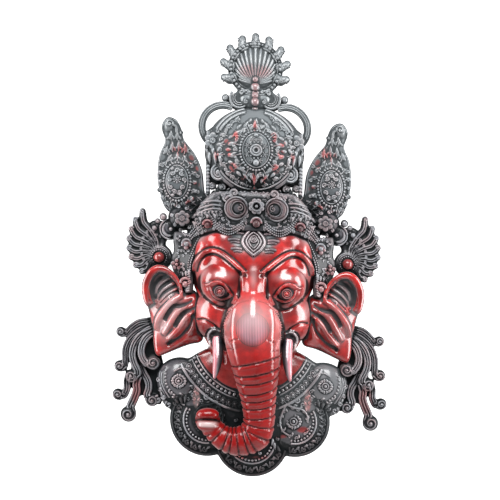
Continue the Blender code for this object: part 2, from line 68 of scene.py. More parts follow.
def smoothLine(points, steps=4):
    ends = [points[0]] + list(points) + [points[-1]]
    out = [blend4(*ends[i - 1:i + 3], s / steps)
           for i in range(1, len(ends) - 2) for s in range(steps)]
    return out + [tuple(points[-1])]


def smoothRing(points, steps=4):
    n = len(points)
    return [blend4(*(points[(i + k) % n] for k in (-1, 0, 1, 2)), s / steps)
            for i in range(n) for s in range(steps)]


def arcPoint(cx, cz, rx, rz, angle):
    a = math.radians(angle)
    return cx + rx * math.cos(a), cz + rz * math.sin(a)


def arcLine(cx, cz, rx, rz, start, end, count):
    return [arcPoint(cx, cz, rx, rz, start + (end - start) * i / (count - 1))
            for i in range(count)]


def around(cx, cz, rx, rz, count, start=0.0):
    # evenly spread places on an oval, each with its angle
    for i in range(count):
        a = start + 360 * i / count
        yield (a, *arcPoint(cx, cz, rx, rz, a))


def curlLine(cx, cz, radius, start, turns, wind, count=18):
    out = []
    for i in range(count):
        t = i / (count - 1)
        a = math.radians(start + wind * 360 * turns * t)
        r = radius * (1 - 0.8 * t)
        out.append((cx + r * math.cos(a), cz + r * math.sin(a)))
    return out


def spaced(points, gap):
    # points at equal steps along a line
    out, left = [points[0]], gap
    for a, b in zip(points, points[1:]):
        length = math.dist(a, b)
        while length > 0 and left <= length:
            t = left / length
            a = tuple(p + (q - p) * t for p, q in zip(a, b))
            out.append(a)
            length = math.dist(a, b)
            left = gap
        left -= length
    return out


def mirrored(points):
    return [(-p[0], *p[1:]) for p in points]


def offsetLine(points, distance):
    # the line moved sideways, to its left where the distance is positive
    out = []
    for i, (x, z) in enumerate(points):
        a, b = points[max(0, i - 1)], points[min(len(points) - 1, i + 1)]
        dx, dz = b[0] - a[0], b[1] - a[1]
        length = math.hypot(dx, dz) or 1.0
        out.append((x - dz / length * distance, z + dx / length * distance))
    return out


def mixedLine(a, b, t):
    # a line part of the way from one line to another of as many points
    return [tuple(p + (q - p) * t for p, q in zip(u, v)) for u, v in zip(a, b)]


# small shapes that are stamped many times
def template(name, build):
    shape = bmesh.new()
    build(shape)
    mesh = bpy.data.meshes.new(name)
    shape.to_mesh(mesh)
    shape.free()
    return mesh


def buildLeaf(shape):
    # a pointed leaf with a raised midrib: tip at +Z, face towards -Y
    bmesh.ops.create_uvsphere(shape, u_segments=8, v_segments=7, radius=1.0)
    for v in shape.verts:
        t = v.co.z
        v.co.x *= 1.0 - 0.45 * t - 0.35 * t * t
        if v.co.y < 0:
            v.co.y -= 0.35 * max(0.0, 0.5 - abs(v.co.x)) - 0.25


def buildPetal(shape):
    # a cupped petal: hollow in the middle, with a rolled edge
    bmesh.ops.create_uvsphere(shape, u_segments=14, v_segments=9, radius=1.0)
    for v in shape.verts:
        if v.co.y < 0:
            v.co.y += 0.75 * max(0.0, 0.8 - math.hypot(v.co.x, v.co.z))


ballFine = template("ballFine", lambda s: bmesh.ops.create_uvsphere(
    s, u_segments=48, v_segments=30, radius=1.0))
ballRough = template("ballRough", lambda s: bmesh.ops.create_uvsphere(
    s, u_segments=16, v_segments=10, radius=1.0))
beadShape = template("beadShape", lambda s: bmesh.ops.create_uvsphere(
    s, u_segments=8, v_segments=6, radius=1.0))
leafShape = template("leafShape", buildLeaf)
petalShape = template("petalShape", buildPetal)


def linked(name, data):
    obj = bpy.data.objects.new(name, data)
    bpy.context.scene.collection.objects.link(obj)
    return obj


def bakedMesh(obj):
    # the mesh of an object with its modifiers applied; the object itself is removed
    bpy.context.view_layer.update()
    graph = bpy.context.evaluated_depsgraph_get()
    mesh = bpy.data.meshes.new_from_object(obj.evaluated_get(graph))
    bpy.data.objects.remove(obj)
    return mesh


class Heap:
    # a heap of closed shapes, either fused into one skin or kept as they are

    def __init__(self):
        self.stamps = []
        self.strands = []
        self.slabs = []
        self.skins = []

    def stamp(self, shape, x, depth, z, half, turn=0.0, mirror=False):
        for side in (1, -1) if mirror else (1,):
            self.stamps.append((
                shape,
                Matrix.Translation(place(side * x, depth, z))
                @ Matrix.Rotation(math.radians(-side * turn), 4, "Y")
                @ Matrix.Diagonal((*(h * unit for h in half), 1.0)),
            ))

    def ball(self, x, depth, z, half, turn=0.0, mirror=False):
        self.stamp(ballFine if max(half) > 14 else ballRough, x, depth, z, half, turn, mirror)

    def bead(self, x, depth, z, radius, mirror=False):
        self.stamp(beadShape, x, depth, z, (radius,) * 3, 0.0, mirror)

    def strand(self, points, mirror=False):
        # a round strand through (x, depth, z, radius)
        self.strands.append(points)
        if mirror:
            self.strands.append(mirrored(points))

    def level(self, line, depth, radius, mirror=False):
        # a round strand along (x, z) that stays at one depth
        self.strand([(x, depth, z, radius) for x, z in line], mirror)

    def crescent(self, line, depth, thin, swell, mirror=False):
        # the same, but broadest at the middle of the line
        count = len(line) - 1
        self.strand([(x, depth, z, thin + swell * math.sin(math.pi * i / count))
                     for i, (x, z) in enumerate(line)], mirror)

    def slab(self, outline, depth, edge, mirror=False):
        # a flat board with rounded edges, its back as far behind the wall as its front before it
        self.slabs.append((outline, depth, edge))
        if mirror:
            self.slabs.append((mirrored(outline), depth, edge))

    def gathered(self):
        shape = bmesh.new()
        for skin in self.skins:
            shape.from_mesh(skin)
        for kind, matrix in self.stamps:
            copy = kind.copy()
            copy.transform(matrix)
            shape.from_mesh(copy)
            bpy.data.meshes.remove(copy)
        if self.strands:
            data = bpy.data.curves.new("strands", "CURVE")
            data.dimensions = "3D"
            data.bevel_depth = unit
            data.bevel_resolution = 2
            data.use_fill_caps = True
            for points in self.strands:
                spline = data.splines.new("POLY")
                spline.points.add(len(points) - 1)
                for target, (x, depth, z, radius) in zip(spline.points, points):
                    target.co = (*place(x, depth, z), 1.0)
                    target.radius = radius
            shape.from_mesh(bakedMesh(linked("strands", data)))
        for outline, depth, edge in self.slabs:
            data = bpy.data.curves.new("slab", "CURVE")
            data.dimensions = "2D"
            data.fill_mode = "BOTH"
            data.extrude = (depth - edge) * unit
            data.bevel_depth = edge * unit
            data.bevel_resolution = 4
            data.offset = -edge * unit
            spline = data.splines.new("POLY")
            spline.points.add(len(outline) - 1)
            spline.use_cyclic_u = True
            for target, (x, z) in zip(spline.points, outline):
                target.co = (x * unit, z * unit, 0.0, 1.0)
            flat = bakedMesh(linked("slab", data))
            flat.transform(Matrix.Rotation(math.radians(90), 4, "X"))
            shape.from_mesh(flat)
        mesh = bpy.data.meshes.new("heap")
        shape.to_mesh(mesh)
        shape.free()
        return mesh

    def fused(self, voxel, smoothing=2):
        # one skin round the whole heap
        obj = linked("fusing", self.gathered())
        remesh = obj.modifiers.new("fuse", "REMESH")
        remesh.mode = "VOXEL"
        remesh.voxel_size = voxel
        if smoothing:
            soften = obj.modifiers.new("soften", "SMOOTH")
            soften.factor, soften.iterations = 0.5, smoothing
        return bakedMesh(obj)


class Surface:
    # the front of a mesh, and the depth to take where the mesh is missed
    def __init__(self, mesh, otherwise=6.0):
        self.otherwise = otherwise
        self.tree = BVHTree.FromPolygons(
            [v.co for v in mesh.vertices], [p.vertices for p in mesh.polygons])

    def depth(self, x, z):
        hit = self.tree.ray_cast(place(x, carving["farAhead"], z), Vector((0, 1, 0)))[0]
        return self.otherwise if hit is None else -hit.y / unit


def ridge(heap, front, line, radius, lift=0.3, taper=0.0, mirror=False):
    # a raised line that follows the surface
    count = max(1, len(line) - 1)
    heap.strand([(x, front(x, z) + lift, z, radius * (1 - taper * i / count))
                 for i, (x, z) in enumerate(line)], mirror)


def beadRow(heap, front, line, gap, radius, lift=0.4, mirror=False):
    for x, z in spaced(line, gap):
        heap.bead(x, front(x, z) + lift, z, radius, mirror)


def leafOn(heap, front, x, z, turn, length, width, thick=2.4, lift=0.2, mirror=False):
    heap.stamp(leafShape, x, front(x, z) + lift, z, (width, thick, length), turn, mirror)


def curlOn(heap, front, cx, cz, radius, start, wind, strand, turns=1.3, lift=0.6, rise=1.5,
           lead=(), mirror=False):
    # a scroll: an optional lead-in line, then a spiral that rises to its eye
    line = list(lead) + curlLine(cx, cz, radius - strand * 0.5, start, turns, wind,
                                 8 + int(radius))
    if lead:
        line = smoothLine(line, 3)
    count = len(line) - 1
    heap.strand([(x, front(x, z) + lift + rise * i / count, z, strand * (1 - 0.5 * i / count))
                 for i, (x, z) in enumerate(line)], mirror)
    heap.bead(cx, front(cx, cz) + lift + rise, cz, strand * 0.75, mirror)


def looseCurl(heap, front, rand, x, z, radius, strand, turns, lift, rise):
    # a curl on both sides, turned and wound by chance
    curlOn(heap, front, x, z, radius, 360 * rand.random(), rand.choice((1, -1)), strand, turns,
           lift, rise, mirror=True)


def spray(heap, front, x, z, turn, length, width, lift=0.3, mirror=False):
    # a carved leaf of three leaflets on a stalk, rooted at (x, z)
    for bend, reach, share in ((0, 1.0, 0.85), (38, 0.66, 0.62), (-38, 0.66, 0.62)):
        a = math.radians(turn + bend)
        half = length * reach * 0.5
        px, pz = x + math.sin(a) * half * 1.05, z + math.cos(a) * half * 1.05
        leafOn(heap, front, px, pz, turn + bend, half, width * share * 0.5, 1.7,
               lift + 0.4 * (bend == 0), mirror)
    a = math.radians(turn)
    tip = (x + math.sin(a) * length, z + math.cos(a) * length)
    ridge(heap, front, [(x - math.sin(a), z - math.cos(a)), tip], 0.6, lift + 2.0, 0.6, mirror)


def rosette(heap, front, x, z, radius, petals, mirror=False):
    # a ring of small petals about a coiled heart
    depth = front(x, z)
    for a, px, pz in around(x, z, radius * 0.74, radius * 0.74, petals):
        heap.stamp(leafShape, px, depth + 0.6, pz,
                   (radius * 0.17, 1.4, radius * 0.25), 90 - a, mirror)
    ring = arcLine(x, z, radius * 0.4, radius * 0.4, 0, 360, 15)
    heap.level(ring, depth + 0.9, radius * 0.1, mirror)
    heap.bead(x, depth + 1.6, z, radius * 0.2, mirror)


def flower(heap, front, x, z, radius, petals, lift=1.0, mirror=False):
    # a fuller flower of cupped petals
    depth = front(x, z) + lift
    for a, px, pz in around(x, z, radius * 0.62, radius * 0.62, petals, 90):
        heap.stamp(petalShape, px, depth, pz, (radius * 0.40, 3.2, radius * 0.40), 90 - a, mirror)
    ring = arcLine(x, z, radius * 0.27, radius * 0.27, 0, 360, 15)
    heap.level(ring, depth + 3.2, radius * 0.10, mirror)
    heap.ball(x, depth + 1.6, z, (radius * 0.3, 2.2, radius * 0.3), 0, mirror)


# the outlines of the base forms
shapes = {
    "earOutline": [
        (76, -150), (83, -128), (97, -113), (113, -101), (129, -98), (143, -108), (150, -126),
        (146, -146), (141, -165), (137, -184), (136, -204), (131, -220), (119, -216),
        (99, -207), (84, -201), (68, -196), (70, -168)],
    "crestOutline": [
        (84, -22), (67, -6), (69, 14), (72, 38), (82, 60), (97, 79), (101, 94), (108, 106),
        (120, 109), (128, 96), (123, 77), (131, 55), (133, 26), (128, 0), (120, -18),
        (103, -26)],
    "chestOutline": [
        (0, -212), (45, -206), (66, -211), (92, -223), (118, -233), (130, -244), (128, -266),
        (118, -288), (90, -296), (0, -300), (-90, -296), (-118, -288), (-128, -266),
        (-130, -244), (-118, -233), (-92, -223), (-66, -211), (-45, -206)],
    "lobes": [(58.0, -302.0, 49.5), (-62.5, -304.5, 50.0), (0.0, -328.8, 51.5)],
    "head": (-95.0, 8.0, (86.0, 73.0, 82.0)),  # height, depth, half sizes
    "headWall": 10.0,  # the casting's wall in front of the hollow
    "trunk": [
        (0, 50, -128, 27), (0, 60, -146, 35), (0, 66, -166, 39.5), (0, 69, -190, 38.5),
        (4, 69, -220, 34), (6, 65, -242, 30), (8, 60, -262, 26), (9.5, 56, -283, 23),
        (9.5, 53, -303, 22), (3.5, 51, -320, 22), (-19, 50, -328, 21), (-38, 51, -324, 18),
        (-51, 52, -313, 16), (-58, 54, -304, 15)],
    "trunkTip": (-59.5, 57, -300.0),
    "collarZ": -181.0,
    "drum": (66.0, (69.0, 50.0, 62.0)),
    "finialZ": 179.8,
    "shellRadius": 29.5,
}


def addHead(heap):
    z, depth, half = shapes["head"]
    heap.ball(0, depth, z, half)
    heap.ball(43, 14, -158, (41, 50, 40), mirror=True)
    heap.ball(45, 52, -115, (26.5, 29, 29), mirror=True)
    heap.ball(40, 24, -188, (25, 38, 22), mirror=True)
    heap.ball(0, 46, -116, (17, 40, 46))
    heap.ball(0.5, 70, -106, (16, 15, 24))
    heap.ball(0, 0, -216, (64, 36, 46))
    heap.ball(62, 20, -84, (22, 40, 44), mirror=True)
    heap.ball(36, 16, -62, (40, 48, 34), mirror=True)


def addChest(heap):
    heap.slab(smoothRing(shapes["chestOutline"], 4), 15, 5)
    for x, z, radius in shapes["lobes"]:
        heap.slab(arcLine(x, z, radius, radius, 0, 355, 72), 15, 6)
        heap.ball(x, 9, z, (42, 15, 42))
    heap.ball(0, 4, -268, (112, 27, 74))
    heap.ball(98, 6, -252, (34, 20, 32), mirror=True)


def addEars(heap):
    heap.slab(smoothRing(shapes["earOutline"], 5), 24, 8, True)
    heap.ball(108, 20, -160, (30, 15, 44), -12, True)
    heap.ball(84, 12, -160, (16, 30, 34), mirror=True)


def addCrownBand(heap):
    # the band's ground is built of rows that go round the brow
    for k in range(8):
        row = []
        for i in range(29):
            a = math.radians(-82 + 164 * i / 28)
            x = 90 * math.sin(a)
            row.append((x, 0.5 + 63 * math.cos(a) - 0.8 * k,
                        -39.5 + 6 * k - (0.012 + 0.003 * k) * max(0.0, abs(x) - 46) ** 2, 6.5))
        heap.strand(row)
    heap.ball(0, 2, -8, (80, 52, 22))
    heap.ball(98, 6, -28, (20, 26, 18), mirror=True)


def addDrum(heap):
    z, half = shapes["drum"]
    heap.ball(0, 0, z, half)
    heap.slab([(22, -10), (46, -10), (46, 19), (66, 19), (67, 92), (40, 112), (22, 60)], 9, 2,
              mirror=True)


def addFinial(heap):
    z, radius = shapes["finialZ"], shapes["shellRadius"]
    heap.slab(arcLine(0, z, radius + 8, radius + 8, 0, 355, 72), 11, 3)
    heap.ball(0, 8, z, (radius, 14, radius))
    heap.slab(smoothRing([(0, 118), (24, 122), (36, 130), (33, 142), (24, 150), (30, 164),
                          (0, 172), (-30, 164), (-24, 150), (-33, 142), (-36, 130),
                          (-24, 122)]), 12, 3)
    heap.ball(0, 6, 138, (24, 15, 18))


def addCrests(heap):
    heap.slab(smoothRing(shapes["crestOutline"], 5), 16, 5, True)
    heap.ball(103, 9, 18, (26, 15, 46), -8, True)


templeEdges = {
    "inner": [(64, -52), (70, -61), (77, -72), (82.5, -86), (85, -100), (86, -114), (87, -130)],
    "outer": [(104, -48), (105, -60), (104, -74), (108, -90), (103, -104), (97, -118),
              (93, -131)],
}


def addTemples(heap):
    s = templeEdges
    for k in range(7):
        t = k / 6
        line = mixedLine(smoothLine(s["inner"], 3), smoothLine(s["outer"], 3), t)
        count = len(line) - 1
        heap.strand([(x, 40 - 18 * t - (10 - 6 * t) * i / count, z, 5.4)
                     for i, (x, z) in enumerate(line)], True)
        heap.level(line, 18, 5.5, True)
    heap.slab(arcLine(129, -83.6, 18, 18, 0, 350, 36), 16, 4, True)
    heap.slab(smoothRing([(102, -38), (124, -34), (140, -34), (150, -50), (150, -72),
                          (128, -78), (122, -66), (117, -57), (106, -58)]), 13, 4, True)


everything = Heap()
for add in (addHead, addChest, addEars, addCrownBand, addDrum, addFinial, addCrests, addTemples):
    add(everything)
surface = Surface(everything.fused(carving["coarseVoxel"], 1))
front = surface.depth
print("base forms laid out")


# cutting, carving and finishing
def cutFlatBack(mesh, hollow=False):
    # the mesh cut off at the wall, and hollowed behind the head if asked
    if hollow:
        z, depth, half = shapes["head"]
        cutter = linked("hollow", ballFine.copy())
        cutter.data.transform(
            Matrix.Translation(place(0, depth, z)) @ Matrix.Diagonal(
                (*((h - shapes["headWall"]) * unit for h in half), 1.0)))
        body = linked("body", mesh)
        cut = body.modifiers.new("hollow", "BOOLEAN")
        cut.operation, cut.object, cut.solver = "DIFFERENCE", cutter, "FAST"
        mesh = bakedMesh(body)
        bpy.data.objects.remove(cutter)
    shape = bmesh.new()
    shape.from_mesh(mesh)
    cut = bmesh.ops.bisect_plane(
        shape, geom=shape.verts[:] + shape.edges[:] + shape.faces[:], dist=1e-6,
        plane_co=(0, 0, 0), plane_no=(0, 1, 0), clear_outer=True)
    rim = [e for e in cut["geom_cut"] if isinstance(e, bmesh.types.BMEdge) and e.is_boundary]
    bmesh.ops.triangle_fill(shape, edges=rim, use_beauty=False, normal=(0, 1, 0))
    shape.to_mesh(mesh)
    shape.free()
    return mesh


def meshArrays(mesh):
    # where the points are, as x, depth and z in millimetres, and their normals
    count = len(mesh.vertices)
    co = np.empty(count * 3)
    mesh.vertices.foreach_get("co", co)
    co = co.reshape(-1, 3) / unit
    co[:, 1] *= -1
    normal = np.empty(count * 3)
    mesh.vertices.foreach_get("normal", normal)
    return co, normal.reshape(-1, 3)


def setArrays(mesh, co):
    co = co.copy()
    co[:, 1] *= -1
    mesh.vertices.foreach_set("co", (co * unit).ravel())
    mesh.update()


def nearLine(co, line, reach):
    # distance in the wall's plane from each point to a line, where it is under the reach
    pts = np.array(spaced(line, 0.5))
    away = np.full(len(co), np.inf)
    near = np.flatnonzero(
        (co[:, 0] > pts[:, 0].min() - reach) & (co[:, 0] < pts[:, 0].max() + reach)
        & (co[:, 2] > pts[:, 1].min() - reach) & (co[:, 2] < pts[:, 1].max() + reach))
    for part in np.array_split(near, max(1, len(near) // 4000)):
        if len(part):
            dx = co[part, 0][:, None] - pts[None, :, 0]
            dz = co[part, 2][:, None] - pts[None, :, 1]
            away[part] = np.sqrt((dx * dx + dz * dz).min(axis=1))
    return away


def carveLines(mesh, lines):
    # cuts grooves on both sides, each (line, width, depth, darkness), and returns each point's
    # darkness: ink in the grooves, painted shade where a line stands for shade
    co, normal = meshArrays(mesh)
    ink = np.zeros(len(co))
    facing = normal[:, 1] < -0.05
    for line, width, deep, strength in lines:
        for side in (line, mirrored(line)):
            away = nearLine(co, side, width * 3)
            bump = np.where(facing, np.exp(-(away / width) ** 2), 0.0)
            co -= normal * bump[:, None] * deep * np.array([1, -1, 1])
            shade = np.where(facing, np.exp(-(away / (width * 0.8)) ** 2), 0)
            ink = np.maximum(ink, shade * strength)
    setArrays(mesh, co)
    return ink


def paint(mesh, **layers):
    # writes what the materials read: a number, or one for each point, by the layer's name
    for name, values in layers.items():
        layer = mesh.attributes.get(name) or mesh.attributes.new(name, "FLOAT", "POINT")
        filled = np.empty(len(mesh.vertices), dtype=np.float32)
        filled[:] = values
        layer.data.foreach_set("value", filled)


def joined(base, details):
    # one mesh of a fused base and the ornament on it, its points, and which of them are the base's
    shape = bmesh.new()
    shape.from_mesh(base)
    shape.from_mesh(details)
    mesh = bpy.data.meshes.new("joined")
    shape.to_mesh(mesh)
    shape.free()
    co = meshArrays(mesh)[0]
    return mesh, co, np.arange(len(co)) < len(base.vertices)


pieces = []


def finishPiece(name, mesh, material):
    for v in mesh.vertices:
        v.co.z -= carving["sideDrop"] * v.co.x
    mesh.name = name
    obj = linked(name, mesh)
    mesh.materials.clear()
    mesh.materials.append(material)
    mesh.shade_smooth()
    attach(obj, "root")
    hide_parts("mask")
    pieces.append(obj)
    print(name, "made:", sum(len(p.vertices) - 2 for p in mesh.polygons), "triangles")


# shared shader groups
def newGroup(name, inputs, outputs):
    group = bpy.data.node_groups.new(name, "ShaderNodeTree")
    for label, kind, value in inputs:
        socket = group.interface.new_socket(label, in_out="INPUT", socket_type=kind)
        socket.default_value = value
    for label, kind in outputs:
        group.interface.new_socket(label, in_out="OUTPUT", socket_type=kind)
    return group, group.nodes.new("NodeGroupInput"), group.nodes.new("NodeGroupOutput")


def mathNode(tree, operation, a, b=None):
    node = tree.nodes.new("ShaderNodeMath")
    node.operation = operation
    for socket, value in zip(node.inputs, (a, b)):
        if isinstance(value, (int, float)):
            socket.default_value = value
        elif value is not None:
            tree.links.new(value, socket)
    return node.outputs[0]


def times(tree, a, b):
    return mathNode(tree, "MULTIPLY", a, b)


def plus(tree, a, b):
    return mathNode(tree, "ADD", a, b)


def minus(tree, a, b):
    return mathNode(tree, "SUBTRACT", a, b)


def mixColours(tree, factor, a, b):
    node = tree.nodes.new("ShaderNodeMix")
    node.data_type = "RGBA"
    for socket, value in ((node.inputs[0], factor), (node.inputs[6], a), (node.inputs[7], b)):
        if isinstance(value, tuple):
            socket.default_value = value
        else:
            tree.links.new(value, socket)
    return node.outputs[2]


def spread(tree, value, low, high):
    # 0 below low and 1 above high, with a smooth step between them
    node = tree.nodes.new("ShaderNodeMapRange")
    node.clamp = True
    node.interpolation_type = "SMOOTHSTEP"
    tree.links.new(value, node.inputs[0])
    node.inputs[1].default_value = low
    node.inputs[2].default_value = high
    return node.outputs[0]


def makeWearGroup():
    # black left in the hollows, painted shade on low ground beside tall forms (from the broad map),
    # and paint rubbed through on the high spots
    group, source, sink = newGroup(
        "antiqueWear",
        [("Vector", "NodeSocketVector", (0, 0, 0)), ("Fine", "NodeSocketFloat", 0.0),
         ("Broad", "NodeSocketFloat", 0.0), ("Ink", "NodeSocketFloat", 0.0),
         ("Recess Gain", "NodeSocketFloat", 1.0), ("Rub Gain", "NodeSocketFloat", 1.0)],
        [("Recess", "NodeSocketFloat"), ("Rub", "NodeSocketFloat"),
         ("Blotch", "NodeSocketFloat"), ("Grain", "NodeSocketFloat")])
    noise = group.nodes.new("ShaderNodeTexNoise")
    noise.inputs["Scale"].default_value = 42.0
    noise.inputs["Detail"].default_value = 5.0
    noise.inputs["Roughness"].default_value = 0.62
    grain = group.nodes.new("ShaderNodeTexNoise")
    grain.inputs["Scale"].default_value = 420.0
    grain.inputs["Detail"].default_value = 3.0
    for node in (noise, grain):
        group.links.new(source.outputs["Vector"], node.inputs["Vector"])
    # the fine map finds the carved hollows; the broad map's share is painted shade on ground that
    # lies low beside tall forms
    recess = plus(group, times(group, source.outputs["Fine"], -1.0),
                  times(group, source.outputs["Broad"], -0.22))
    recess = times(group, recess, source.outputs["Recess Gain"])
    shake = times(group, minus(group, noise.outputs[0], 0.5), 0.5)
    recess = plus(group, recess, shake)
    recess = spread(group, recess, 0.04, 0.55)
    recess = mathNode(group, "MAXIMUM", recess, source.outputs["Ink"])
    rub = plus(group, source.outputs["Fine"], times(group, source.outputs["Broad"], 0.15))
    rub = times(group, rub, source.outputs["Rub Gain"])
    rub = plus(group, rub, shake)
    rub = spread(group, rub, 0.12, 0.85)
    group.links.new(recess, sink.inputs["Recess"])
    group.links.new(rub, sink.inputs["Rub"])
    group.links.new(spread(group, noise.outputs[0], 0.38, 0.66), sink.inputs["Blotch"])
    group.links.new(grain.outputs[0], sink.inputs["Grain"])
    return group


wearGroup = makeWearGroup()


def newMaterial(name):
    material = bpy.data.materials.new(name)
    material.use_nodes = True
    return material, material.node_tree.nodes["Principled BSDF"]


def attributeNode(tree, name):
    node = tree.nodes.new("ShaderNodeAttribute")
    node.attribute_name = name
    return node.outputs["Fac"]


def makeLacquer(name, look):
    # red lacquer over black, mixed by the painted attributes of the piece
    material, shader = newMaterial(name)
    tree = material.node_tree
    coords = tree.nodes.new("ShaderNodeTexCoord")
    wear = tree.nodes.new("ShaderNodeGroup")
    wear.node_tree = wearGroup
    tree.links.new(coords.outputs["Object"], wear.inputs["Vector"])
    tree.links.new(attributeNode(tree, "fine"), wear.inputs["Fine"])
    tree.links.new(attributeNode(tree, "broad"), wear.inputs["Broad"])
    tree.links.new(attributeNode(tree, "ink"), wear.inputs["Ink"])
    wear.inputs["Recess Gain"].default_value = look["recessGain"]
    wear.inputs["Rub Gain"].default_value = look["rubGain"]
    red = attributeNode(tree, "red")
    haze = attributeNode(tree, "haze")
    blotch, recess, rub = (wear.outputs[k] for k in ("Blotch", "Recess", "Rub"))
    redTone = mixColours(tree, blotch, look["redDeep"], look["redBright"])
    redTone = mixColours(tree, times(tree, rub, look["redRub"]), redTone, look["redWorn"])
    deep = attributeNode(tree, "deep")
    redTone = mixColours(tree, times(tree, deep, 0.75), redTone, look["redLow"])
    kept = minus(tree, 1.0, times(tree, deep, 0.6))
    slate = mixColours(tree, blotch, look["slateDark"], look["slate"])
    worn = mixColours(tree, blotch, look["slateWorn"], look["pinkWorn"])
    slate = mixColours(tree, times(tree, rub, look["slateRub"]), slate, worn)
    # painted sheen and dust: the slate fades towards a pale grey where that layer says
    slate = mixColours(tree, haze, slate, look["haze"])
    tone = mixColours(tree, red, slate, redTone)
    score = attributeNode(tree, "score")
    hatch = tree.nodes.new("ShaderNodeTexWave")
    hatch.inputs["Scale"].default_value = look["hatchScale"]
    hatch.inputs["Distortion"].default_value = 1.2
    hatch.inputs["Detail"].default_value = 2.0
    hatch.inputs["Detail Scale"].default_value = 0.5
    tree.links.new(coords.outputs["Object"], hatch.inputs["Vector"])
    # painted reflection: a pink-lilac tint over the scored disc, for the light on the trunk's
    # upturned top; the hatch lines below it are the carving's
    tone = mixColours(tree, times(tree, score, 0.55), tone, look["scored"])
    inside = spread(tree, score, 0.0, 0.12)
    cut = times(tree, inside, spread(tree, hatch.outputs["Fac"], 0.55, 0.1))
    edge = mathNode(tree, "ABSOLUTE", minus(tree, score, 0.07))
    cut = mathNode(tree, "MAXIMUM", cut, spread(tree, edge, 0.07, 0.01))
    tone = mixColours(tree, times(tree, cut, 0.8), tone, look["ink"])
    # painted reflection: edges turned away from the view are mixed towards a pale tone, as if the
    # lacquer mirrored a bright surround; less so in hollows and on the lower trunk
    turned = tree.nodes.new("ShaderNodeLayerWeight")
    turned.inputs["Blend"].default_value = 0.35
    openShare = minus(tree, 1.0, times(tree, recess, 0.92))
    rim = spread(tree, turned.outputs["Facing"], 0.35, 0.9)
    rim = times(tree, times(tree, rim, openShare), look["rim"])
    rim = times(tree, rim, kept)
    tone = mixColours(tree, rim, tone, look["rimTone"])
    # painted highlights: broad pale patches where the lights would shine on the lacquer
    tone = mixColours(tree, attributeNode(tree, "bloom"), tone, look["bloomTone"])
    hollow = mixColours(tree, haze, look["ink"], look["inkHaze"])
    tone = mixColours(tree, times(tree, recess, look["recess"]), tone, hollow)
    pale = times(tree, attributeNode(tree, "pale"), 0.8)
    tone = mixColours(tree, pale, tone, look["rimTone"])
    tree.links.new(tone, shader.inputs["Base Color"])
    rough = times(tree, recess, 0.25)
    rough = plus(tree, rough, times(tree, wear.outputs["Grain"], 0.14))
    rough = plus(tree, rough, look["roughness"] - 0.07)
    rough = plus(tree, rough, times(tree, haze, 0.12))
    tree.links.new(rough, shader.inputs["Roughness"])
    coat = times(tree, openShare, look["coat"])
    tree.links.new(times(tree, coat, kept), shader.inputs["Coat Weight"])
    shader.inputs["Specular IOR Level"].default_value = look["specular"]
    shader.inputs["Coat Roughness"].default_value = look["coatRoughness"]
    shader.inputs["Coat IOR"].default_value = look["coatIor"]
    bump = tree.nodes.new("ShaderNodeBump")
    bump.inputs["Strength"].default_value = look["bump"]
    bump.inputs["Distance"].default_value = 0.0004
    tree.links.new(wear.outputs["Grain"], bump.inputs["Height"])
    tree.links.new(bump.outputs["Normal"], shader.inputs["Normal"])
    return material


faceLook = {
    "redDeep": (0.20, 0.003, 0.003, 1), "redBright": (0.50, 0.010, 0.008, 1),
    "redWorn": (0.55, 0.08, 0.07, 1), "redRub": 0.15, "redLow": (0.24, 0.002, 0.002, 1),
    # rim and its tone: painted reflection on edges turned from the view, a tone the pale lower lip
    # shares; the highlight tone colours the painted highlights
    "rim": 0.75, "rimTone": (0.72, 0.56, 0.55, 1), "bloomTone": (0.72, 0.52, 0.52, 1),
    # the scored tint is a painted reflection on the trunk's top; the hatch scale sets the scored
    # lines
    "scored": (0.56, 0.28, 0.37, 1), "hatchScale": 150.0,
    "slateDark": (0.035, 0.042, 0.050, 1), "slate": (0.100, 0.112, 0.128, 1),
    "slateWorn": (0.31, 0.33, 0.36, 1), "pinkWorn": (0.36, 0.285, 0.295, 1), "slateRub": 0.85,
    "ink": (0.0015, 0.004, 0.005, 1), "inkHaze": (0.075, 0.085, 0.09, 1),
    "haze": (0.20, 0.22, 0.23, 1),
    "recess": 0.95, "recessGain": 0.75, "rubGain": 0.4,
    "roughness": 0.34, "coat": 1.0, "coatIor": 1.85, "coatRoughness": 0.17, "specular": 0.2,
    "bump": 0.008,
}
crownLook = dict(faceLook, recess=0.98, recessGain=2.0, rubGain=1.4, rim=0.12, roughness=0.34,
                 redDeep=(0.20, 0.008, 0.008, 1), redBright=(0.42, 0.035, 0.03, 1),
                 coat=0.75, coatRoughness=0.17, bump=0.02)
redLacquer = makeLacquer("redLacquer", faceLook)
crownPatina = makeLacquer("crownPatina", crownLook)
print("materials mixed")


